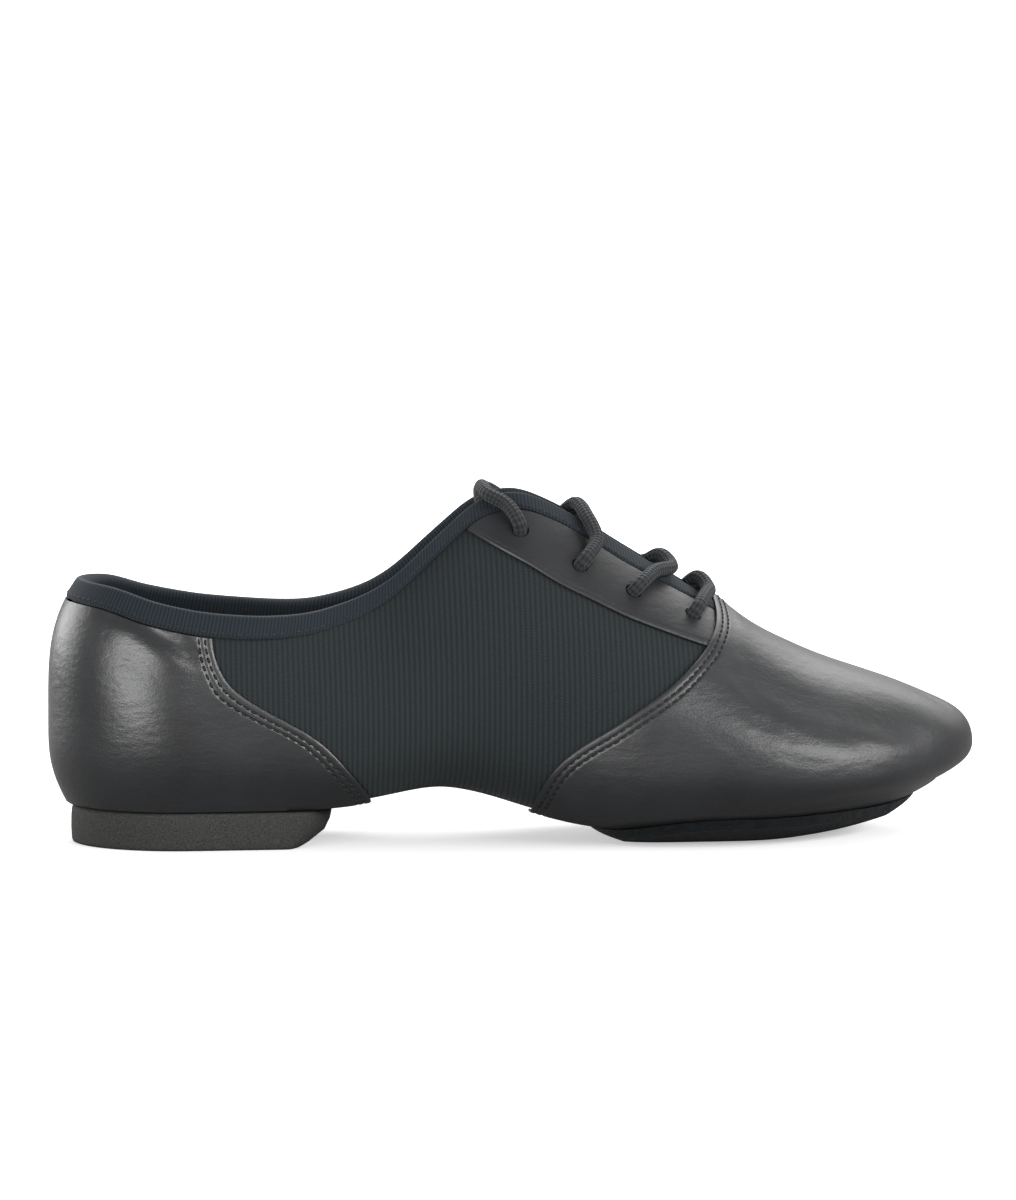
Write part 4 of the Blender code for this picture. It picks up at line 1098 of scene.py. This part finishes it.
# the cross ribs of a real grosgrain are near 0.7 mm apart; drawn at 1.0 mm so that they show
phase = add(tree, "Math", {0: split.outputs["X"], 1: 2 * math.pi / 1.0}, operation="MULTIPLY")
wave = add(tree, "Math", {0: phase.outputs[0]}, operation="SINE")
rib = add(tree, "MapRange", {"Value": wave.outputs[0], "From Min": -1.0, "From Max": 1.0})
fuzz = add(tree, "TexNoise", {"Vector": surface.outputs["UV"], "Scale": 1.5, "Detail": 4.0})
# painted light and shade: the colour runs from dark between the cross ribs to light on their crests
shade = add(tree, "Mix", {0: rib.outputs[0], 6: linear("#161b20"), 7: linear("#232b32")}, data_type="RGBA")
tree.links.new(shade.outputs[2], shader.inputs["Base Color"])
height = add(tree, "Math", {0: fuzz.outputs["Fac"], 1: 0.6, 2: rib.outputs[0]}, operation="MULTIPLY_ADD")
bump = add(tree, "Bump", {"Height": height.outputs[0], "Strength": 0.35, "Distance": 0.2 * MM})
tree.links.new(bump.outputs["Normal"], shader.inputs["Normal"])

TAPE = 1.0 * MM
BINDING_INSIDE = 4.0 * MM
TAPE_STITCH = (2.4 * MM, 1.7 * MM, 0.2 * MM)


def binding_line():
    knee, end = along_of(0.47 * LENGTH), along_of(THROAT_END - 1.0 * MM)
    return np.concatenate(
        [knee * (1 - np.cos(0.5 * np.pi * np.linspace(0, 1, 190))), np.linspace(knee, end, 130)[1:]]
    )


def binding_grid(side):
    along = binding_line()[:, None]
    clear = 1.4 * GAP
    down = np.linspace(1, 0.06, 12)[None] * tape_reach(along)
    back_down = np.linspace(0.08, 1, 9)[None] * BINDING_INSIDE
    edge, normal = base(along, side, TOP), facing(along, side, TOP)
    up = edge - base(along, side, TOP - 0.02)
    up /= np.linalg.norm(up, axis=-1, keepdims=True)
    grids = []
    for thick in (TAPE, 0.0):
        outside_girth = girth_below(along, side, down)
        worn = 0.0 * down
        if thick:
            worn = -0.3 * MM * np.exp(-(((tape_reach(along) - down) / (0.35 * MM)) ** 2))
        outside = place(along, side, outside_girth, clear + thick + worn)
        inside = place(
            along, side, girth_below(along, side, back_down), -WALL - clear - thick + 0 * back_down
        )
        half = WALL / 2 + clear + thick
        turns = np.radians(np.linspace(80, -80, 9))[None, :, None]
        centre = edge - normal * (WALL / 2)
        fold = centre + normal * half * np.sin(turns) + up * (clear + 0.85 * thick) * np.cos(turns)
        grids.append(np.concatenate([outside, fold, inside], axis=1))
    outer, inner = grids
    across = run_lengths(outer, 1)
    lengthwise = np.broadcast_to(run_lengths(outer[:, 10:11], 0), across.shape)
    return outer, inner, np.stack([lengthwise * -side, across], -1)


shell("binding_tape", [binding_grid(side) for side in SIDES], tape, tape, "tape", "binding")
# thin thread in the tape's own colour, which shows only as a row of faint dips
tape_thread = new_material("tape thread, blue-black", "#11161b", Roughness=0.6)[0]
line, normals = [], []
for side in SIDES:
    along = binding_line()
    girth = girth_below(along, side, tape_reach(along) - 1.1 * MM)
    points, up = place(along, side, girth, 1.4 * GAP + TAPE - 0.05 * MM), facing(along, side, girth)
    line.append(points[::side])
    normals.append(up[::side])
stitches = np.concatenate(line), np.concatenate(normals), *TAPE_STITCH
stitch_row("binding_stitches", *stitches, tape_thread, "tape")


# Tongue: a plain soft leather sheet under the lacing, sewn in at the throat's end. The lace
# presses it down from the facings.
# unfinished soft leather, the dullest of the hides
tongue_leather = leather("tongue leather, matt", "#292b2c", 0.05, 0.6)


TONGUE_TOP = 114.0 * MM
TONGUE_ROOT = 188.0 * MM
TONGUE_OVERLAP = 14.0 * MM
TONGUE_THICKNESS = 1.2 * MM


def tongue_grid():
    along = along_of(np.linspace(TONGUE_TOP, TONGUE_ROOT, 90))[:, None]
    pressed = 3.6 * MM * smooth_step(0.0, 0.12, along - along[0])
    pressed = pressed * smooth_step(-0.02, 0.10, along_of(174 * MM) - along)
    under = -(WALL + TAPE + 4 * GAP)
    faces = []
    for out in (under, under - TONGUE_THICKNESS):
        flanks = []
        for side in SIDES:
            depth = np.linspace(TONGUE_OVERLAP, 0, 14)[None]
            flanks.append(place(along, side, girth_below(along, side, depth), out - pressed + 0 * depth))
        left, right = flanks[0][:, -1:], flanks[1][:, -1:]
        lift = 0.25 * np.linalg.norm(right - left, axis=-1) * np.tan(np.radians(top_lean(along)))
        t = np.linspace(0, 1, 12)[None, 1:-1]
        arch = (4 * t * (1 - t) * lift)[..., None] * np.array((0, 0, 1.0))
        bridge = left + (right - left) * t[..., None] + arch
        faces.append(np.concatenate([flanks[0], bridge, flanks[1][:, ::-1]], axis=1))
    outer, inner = faces
    return outer, inner, np.stack([run_lengths(outer, 0), run_lengths(outer, 1)], -1)


shell("tongue_sheet", [tongue_grid()], tongue_leather, lining, "tongue", "tongue")


# Insole: the sock under the foot, brushed lining cloth on a thin board, glued in over the
# margins of the upper.
sock, tree, shader = new_material(
    "insole sock, brushed black cloth", "#26282a", Roughness=0.95, Sheen_Weight=0.3
)
surface = add(tree, "TexCoord", {})
# a short brushed pile, drawn with tufts about 1 mm across, dark and without shine
nap = add(tree, "TexNoise", {"Vector": surface.outputs["Object"], "Scale": 900.0, "Detail": 4.0})
bump = add(tree, "Bump", {"Height": nap.outputs["Fac"], "Strength": 0.5, "Distance": 0.2 * MM})
tree.links.new(bump.outputs["Normal"], shader.inputs["Normal"])


INSOLE_THICKNESS = 1.8 * MM
INSOLE_MARGIN = 2.2 * MM


def ground_height(x, y):
    """Height of the form's underside over points of the floor."""
    along = np.clip(along_of(x, FEATHER_BACK, FEATHER_FRONT), 0, 1)
    aside = y - middle(along)
    share = np.minimum(1.0, np.abs(aside) / np.maximum(feather_towards(along, aside), 1e-6))
    return underside(along) + feather_rise(along) * crown(share)


def clear_height(x, y, distance):
    """Heights over points of the floor that keep this distance from the form's underside."""
    step = 0.5 * MM
    rise_x = ground_height(x + step, y) - ground_height(x - step, y)
    rise_y = ground_height(x, y + step) - ground_height(x, y - step)
    return ground_height(x, y) + distance * np.sqrt(
        1 + (rise_x / (2 * step)) ** 2 + (rise_y / (2 * step)) ** 2
    )


def insole_grid():
    back, front = FEATHER_BACK + INSOLE_MARGIN, LENGTH - FEATHER_FRONT - INSOLE_MARGIN
    share = ease(110)[:, None]
    x = back + (front - back) * share
    w = np.linspace(-1, 1, 33)[None]
    y = middle(share) + w * 0.86 * feather_towards(share, w)
    x = np.broadcast_to(x, y.shape)
    low = clear_height(x, y, WALL + 2 * GAP)
    high = low + INSOLE_THICKNESS
    return np.stack([x, y, high], -1), np.stack([x, y, low], -1), np.stack([x, y], -1) / MM


shell("insole_sock", [insole_grid()], sock, sock, "insole", "insole")


# Forefoot patch: the front half of the split sole, a suede patch with its nap out, cemented under
# the ball and thinned at its back. Its cut edge shows as a fuzzy dark band.
suede, tree, shader = new_material(
    "suede, nap out, blue-black", "#0c1114", Roughness=0.95, Specular_IOR_Level=0.15, Sheen_Weight=0.08,
    Sheen_Roughness=0.5,
)
surface = add(tree, "TexCoord", {})
# fibres stand up in tufts 0.7 mm across: nearly black, with paler flecks and no shine
nap = add(
    tree, "TexNoise",
    {"Vector": surface.outputs["Object"], "Scale": 1400.0, "Detail": 5.0, "Roughness": 0.8},
)
scuff = add(tree, "TexNoise", {"Vector": surface.outputs["Object"], "Scale": 120.0, "Detail": 5.0})
tone = add(
    tree, "MapRange",
    {"Value": scuff.outputs["Fac"], "From Min": 0.3, "From Max": 0.7, "To Min": 0.7, "To Max": 1.3},
)
fleck = add(
    tree, "MapRange",
    {"Value": nap.outputs["Fac"], "From Min": 0.54, "From Max": 0.72, "To Min": 0.75, "To Max": 4.5},
)
shade = add(tree, "Math", {0: tone.outputs[0], 1: fleck.outputs[0]}, operation="MULTIPLY")
dyed = add(
    tree, "Mix", {0: 1.0, 6: linear("#0c1114"), 7: shade.outputs[0]}, data_type="RGBA",
    blend_type="MULTIPLY",
)
tree.links.new(dyed.outputs[2], shader.inputs["Base Color"])
bump = add(tree, "Bump", {"Height": nap.outputs["Fac"], "Strength": 1.0, "Distance": 0.5 * MM})
tree.links.new(bump.outputs["Normal"], shader.inputs["Normal"])

SOLE_BACK, SOLE_FRONT, SOLE_SKIVE = 145.0 * MM, 234.0 * MM, 8.0 * MM


def sole_grid():
    share = ease(140)[:, None]
    taper = np.maximum(0, 1 - np.abs(2 * share - 1) ** 3.4) ** (1 / 2.6)
    w = np.sin(0.5 * np.pi * np.linspace(-1, 1, 49))[None]
    x = np.broadcast_to(SOLE_BACK + (SOLE_FRONT - SOLE_BACK) * share, (140, 49))
    along = along_of(x, FEATHER_BACK, FEATHER_FRONT)
    half = feather_towards(along, w)
    # the cut edge is a little ragged, as a knife leaves suede
    ragged = np.random.default_rng(7).normal(0.0, 0.12 * MM, (2, 140, 1))
    edge = np.abs(w) ** 8 * np.where(w > 0, ragged[0], ragged[1])
    y = middle(along) + w * taper * (0.98 * half + edge)
    high = clear_height(x, y, -SKIN - GAP)
    skive = np.minimum(1, 0.3 + 0.7 * (x - SOLE_BACK) / SOLE_SKIVE)
    skive = np.minimum(skive, 0.25 + 0.75 * (SOLE_FRONT - x) / (9.0 * MM))
    low = np.maximum(0.0, high - SOLE_THICKNESS * skive * (1 - 0.18 * np.abs(w) ** 6))
    return np.stack([x, y, low], -1), np.stack([x, y, high], -1), np.stack([x, y], -1) / MM


shell("forefoot_patch", [sole_grid()], suede, suede, "sole", "forefoot_sole")


# Heel: a low block of speckled rubber, moulded, with slightly rounded edges and a breast that is
# cut back under; matt and a little browner than the leather.
rubber, tree, shader = new_material(
    "speckled rubber, matt", "#353533", Roughness=0.8, Specular_IOR_Level=0.35
)
surface = add(tree, "TexCoord", {})
# grit in the rubber, in grains 0.4 mm across, gives brown-grey specks and a dry surface
grit = add(
    tree, "TexNoise",
    {"Vector": surface.outputs["Object"], "Scale": 2600.0, "Detail": 3.0, "Roughness": 0.7},
)
speck = add(tree, "MapRange", {"Value": grit.outputs["Fac"], "From Min": 0.35, "From Max": 0.68})
shade = add(
    tree, "Mix", {0: speck.outputs[0], 6: linear("#20201f"), 7: linear("#41413e")}, data_type="RGBA"
)
tree.links.new(shade.outputs[2], shader.inputs["Base Color"])
bump = add(tree, "Bump", {"Height": grit.outputs["Fac"], "Strength": 0.6, "Distance": 0.3 * MM})
tree.links.new(bump.outputs["Normal"], shader.inputs["Normal"])

HEEL_BREAST, HEEL_UNDERCUT, HEEL_BACK = 75.5 * MM, 3.0 * MM, 6.2 * MM


def heel_ring(side, share):
    """One side of the block's outline: its foot on the floor and its top under the leather."""
    x = HEEL_BACK + (HEEL_BREAST - HEEL_BACK) * share
    along = (HEEL_BREAST - FEATHER_BACK) * share / (LENGTH - FEATHER_FRONT - FEATHER_BACK)
    corner = np.maximum(0, (share - 0.84) / 0.16)
    half = feather_half(along, side) + 0.9 * MM * end_round(along)
    half = half * np.sqrt(np.maximum(0, 1 - 0.75 * corner**2.4))
    return x, side * half


def heel_block():
    share = ease(70)
    breast = np.linspace(-1, 1, 24)[1:-1]
    (x, left), (_, right) = heel_ring(LATERAL, share), heel_ring(MEDIAL, share)
    cross = np.where(breast < 0, breast * -left[-1], breast * right[-1])
    x = np.concatenate([x, np.full(len(breast), HEEL_BREAST), x[::-1][:-1]])
    y = np.concatenate([left, cross, right[::-1][:-1]])
    share = np.concatenate([share, np.ones(len(breast)), share[::-1][:-1]])
    top = np.minimum(clear_height(x, y, -SKIN - GAP), clear_height(x, 0 * y, -SKIN - GAP))
    high = np.stack([x, y, top], -1)
    foot = np.stack([x - HEEL_UNDERCUT * share**3, y * 0.985, 0 * x], -1)
    ahead = np.roll(high, -1, 0) - np.roll(high, 1, 0)
    normal = np.cross(ahead * (1, 1, 0), (0, 0, 1.0))
    normal /= np.maximum(np.linalg.norm(normal, axis=1, keepdims=True), 1e-9)
    profile = (
        (0.0, 0.9), (0.02, 0.35), (0.07, 0.1), (0.14, 0.0), (0.4, -0.12), (0.7, -0.08), (0.88, 0.05),
        (0.96, 0.25), (1.0, 0.7),
    )
    # the breast's lower corner is worn round
    worn = [5.5 * MM * max(0.0, 1 - h / 0.6) ** 2 * share[:, None] ** 8 * (1, 0, 0) for h, _ in profile]
    rings = [foot * (1 - h) + high * h - normal * inset * MM - w for (h, inset), w in zip(profile, worn)]
    return np.concatenate(rings), tube_faces(0, len(rings), len(x))


points, faces = heel_block()
solid("heel_block", points - ORIGIN, faces, rubber, "rubber", "heel")


# Lace: one round braided cord through the eight holes. It runs straight across inside the lowest
# pair, leaves each hole outwards, crosses the throat and goes under the facing opposite.
LACE_RADIUS = 1.9 * MM
cord, tree, shader = new_material(
    "braided cord, black", "#1c1e1f", Roughness=0.75, Specular_IOR_Level=0.3, Sheen_Weight=0.1
)
surface = add(tree, "TexCoord", {})
split = add(tree, "SeparateXYZ", {0: surface.outputs["UV"]})
# strands cross in diamonds 2.2 mm long, which gives a dull cord a beaded look; the raised strands
# carry painted light and the hollows between them painted shade
braid = []
for lean in (5.0, -5.0):
    turned = add(tree, "Math", {0: split.outputs["Y"], 1: lean * 2 * math.pi}, operation="MULTIPLY")
    phase = add(
        tree, "Math", {0: split.outputs["X"], 1: 2 * math.pi / 2.2, 2: turned.outputs[0]},
        operation="MULTIPLY_ADD",
    )
    braid.append(add(tree, "Math", {0: phase.outputs[0]}, operation="SINE"))
cross = add(tree, "Math", {0: braid[0].outputs[0], 1: braid[1].outputs[0]}, operation="MULTIPLY")
weave = add(tree, "MapRange", {"Value": cross.outputs[0], "From Min": -1.0, "From Max": 1.0})
fuzz = add(tree, "TexNoise", {"Vector": surface.outputs["Object"], "Scale": 1800.0, "Detail": 3.0})
# painted light and shade: dark in the braid's hollows, light on its raised strands
shade = add(
    tree, "Mix", {0: weave.outputs[0], 6: linear("#111314"), 7: linear("#33373a")}, data_type="RGBA"
)
tree.links.new(shade.outputs[2], shader.inputs["Base Color"])
height = add(tree, "Math", {0: fuzz.outputs["Fac"], 1: 0.5, 2: weave.outputs[0]}, operation="MULTIPLY_ADD")
bump = add(tree, "Bump", {"Height": height.outputs[0], "Strength": 0.8, "Distance": 0.5 * MM})
tree.links.new(bump.outputs["Normal"], shader.inputs["Normal"])


def lace_point(x, shift, side, depth, out):
    """A point beside the facing, in millimetres from its surface."""
    along = np.array(along_of(x * LENGTH) + shift * MM / LENGTH)
    girth = girth_below(along, side, depth * MM)
    return place(along, side, girth, out * MM)


def lace_leg(number, side):
    """The lace from inside one eyelet, over the throat, to under the facing on the other side."""
    x, depth, half_way, at_edge, over, past = EYELETS[number]
    outside = (SKIN + 1.4 * GAP + LACE_RADIUS) / MM
    centre = lace_point(x, over, side, 0.0, outside)
    centre[1] = middle(along_of(x * LENGTH))
    centre[2] += (0.9 if side == LATERAL else -2.7) * MM
    leg = [
        lace_point(x, -0.6, side, depth + 0.6, -5.0),
        lace_point(x, 0.0, side, depth + 0.2, -2.6),
        lace_point(x, 0.0, side, depth, 0.4),
        lace_point(x, 0.15 * half_way, side, depth - 0.8, outside - 0.4),
        lace_point(x, half_way, side, depth * 0.5, outside + 0.3),
        lace_point(x, at_edge, side, 0.8, outside + 0.2),
        centre,
        lace_point(x, past, -side, 0.2, -4.4),
    ]
    return leg


def lace_half(side):
    """Half the lace, from the bar inside the lowest pair up to its hidden end."""
    points = []
    for number in (3, 2, 1, 0):
        points += lace_leg(number, side)
        side = -side
        if number:
            x, depth = EYELETS[number - 1][:2]
            here = EYELETS[number][0] + EYELETS[number][5] / 250.0
            points.append(lace_point(0.5 * (here + x), 0.0, side, 0.62 * depth, -5.0))
        else:
            points.append(lace_point(EYELETS[0][0], -8.0, side, 5.0, -5.2))
            points.append(lace_point(EYELETS[0][0], -5.5, side, 9.0, -5.2))
    return points


def between(t, start, a, end, b):
    """A straight mix, which is a at start and b at end."""
    return ((end - t) * a + (t - start) * b) / (end - start)


def smooth_path(points, spacing):
    """A smooth line through the points, with even spacing."""
    points = np.array(points)
    padded = np.concatenate([2 * points[:1] - points[1:2], points, 2 * points[-1:] - points[-2:-1]])
    fine = []
    for p0, p1, p2, p3 in zip(padded, padded[1:], padded[2:], padded[3:]):
        gaps = [max(np.linalg.norm(b - a), 1e-6) ** 0.5 for a, b in ((p0, p1), (p1, p2), (p2, p3))]
        k0, k1, k2, k3 = np.cumsum([0.0] + gaps)
        for t in np.linspace(k1, k2, 24)[:-1]:
            first, last = between(t, k0, p0, k1, p1), between(t, k2, p2, k3, p3)
            centre = between(t, k1, p1, k2, p2)
            early, late = between(t, k0, first, k2, centre), between(t, k1, centre, k3, last)
            fine.append(between(t, k1, early, k2, late))
    fine = np.array(fine + [points[-1]])
    reach = run_lengths(fine, 0) * MM
    at = np.arange(0, reach[-1], spacing)
    return np.stack([np.interp(at, reach, fine[:, k]) for k in range(3)], -1)


def cord_mesh(path, radius, corners=18):
    """A round cord along a path, with its uv in millimetres along and turns round it."""
    points, uv, faces = [], [], []
    reach = run_lengths(path, 0)
    ahead = np.gradient(path, axis=0)
    ahead /= np.linalg.norm(ahead, axis=1, keepdims=True)
    across = np.cross(ahead[0], (0, 0, 1.0))
    for i, (point, forward) in enumerate(zip(path, ahead)):
        across = across - forward * (across @ forward)
        across /= np.linalg.norm(across)
        up = np.cross(forward, across)
        end = min(i, len(path) - 1 - i)
        thick = radius * min(1.0, 0.45 + 0.2 * end)
        for c in range(corners + 1):
            angle = 2 * math.pi * c / corners
            points.append(point + thick * (across * math.cos(angle) + up * math.sin(angle)))
            uv.append((reach[i], c / corners))
    ring = corners + 1
    for i in range(len(path) - 1):
        for c in range(corners):
            faces.append([i * ring + c, i * ring + c + 1, (i + 1) * ring + c + 1, (i + 1) * ring + c])
    return np.array(points), faces, np.array(uv)


ends = [lace_half(side) for side in SIDES]
path = smooth_path(ends[0][::-1] + ends[1], 0.45 * MM)
points, faces, uv = cord_mesh(path, LACE_RADIUS)
lace = solid(
    "lace_cord", points - ORIGIN, faces, cord, "lace", *(f"lace_crossing_{n}" for n in (1, 2, 3, 4))
)
lay_uv(lace, uv)


# Studio: a white floor that runs into a white background, as for a catalogue picture. A soft
# light hangs above; low ones stand before the heel and the toe, and two weak ones behind.
floor_paint, tree, shader = new_material("white floor, matt", "#fafafa", Roughness=0.95)
path_of = add(tree, "LightPath", {})
# the shoe is lit as on a table with dark surroundings, and only the picture sees pure white
paint = add(
    tree, "Mix", {0: path_of.outputs["Is Camera Ray"], 6: linear("#8c8c8c"), 7: linear("#f2f2f2")},
    data_type="RGBA",
)
tree.links.new(paint.outputs[2], shader.inputs["Base Color"])
shader.inputs["Emission Color"].default_value = linear("#ffffff")
# the floor glows for the picture only, as painted light: least near the shoe, so that the shoe's own
# soft shadow shows, and fully white further off, where it fades into the white background
spot = add(tree, "TexCoord", {})
away = add(tree, "VectorMath", {0: spot.outputs["Object"]}, operation="LENGTH")
fade = add(
    tree, "MapRange",
    {"Value": away.outputs["Value"], "From Min": 0.2, "From Max": 0.7, "To Min": 0.42, "To Max": 1.0},
)
glow = add(tree, "Math", {0: path_of.outputs["Is Camera Ray"], 1: fade.outputs[0]}, operation="MULTIPLY")
tree.links.new(glow.outputs[0], shader.inputs["Emission Strength"])
mesh = bpy.data.meshes.new("floor")
mesh.from_pydata([(-40, -40, 0), (40, -40, 0), (40, 40, 0), (-40, 40, 0)], [], [[0, 1, 2, 3]])
mesh.materials.append(floor_paint)
floor = bpy.data.objects.new("floor", mesh)
bpy.context.scene.collection.objects.link(floor)

world = bpy.data.worlds.new("white studio")
bpy.context.scene.world = world
world.use_nodes = True
tree = world.node_tree
sky = tree.nodes["Background"]
sky.inputs["Color"].default_value = linear("#ffffff")
path_of = add(tree, "LightPath", {})
glow = add(tree, "MapRange", {"Value": path_of.outputs["Is Camera Ray"], "To Min": 0.38, "To Max": 1.0})
tree.links.new(glow.outputs[0], sky.inputs["Strength"])


def soft_light(name, place_at, aim, width, depth, power):
    """A rectangular soft light aimed at a point."""
    lamp = bpy.data.objects.new(name, bpy.data.lights.new(name, "AREA"))
    bpy.context.scene.collection.objects.link(lamp)
    lamp.data.shape = "RECTANGLE"
    lamp.data.size, lamp.data.size_y = width, depth
    lamp.data.energy = power
    lamp.location = place_at
    lamp.rotation_euler = (Vector(place_at) - Vector(aim)).to_track_quat("Z", "Y").to_euler()


soft_light("top light", (0.1, 0.8, 1.0), (0.0, 0.0, 0.0), 1.2, 0.8, 9.0)
soft_light("heel light", (-0.85, -1.15, 0.22), (0.0, 0.0, 0.03), 0.8, 0.4, 12.5)
soft_light("toe light", (0.9, -0.75, 0.52), (0.0, 0.0, 0.03), 1.4, 0.4, 17.0)
soft_light("back light", (0.6, 1.05, 0.75), (0.0, 0.0, 0.05), 1.6, 0.7, 4.5)
soft_light("rim light", (-1.1, 0.75, 0.35), (0.0, 0.0, 0.05), 0.9, 0.6, 8.0)
bpy.context.scene.view_settings.view_transform = "Standard"
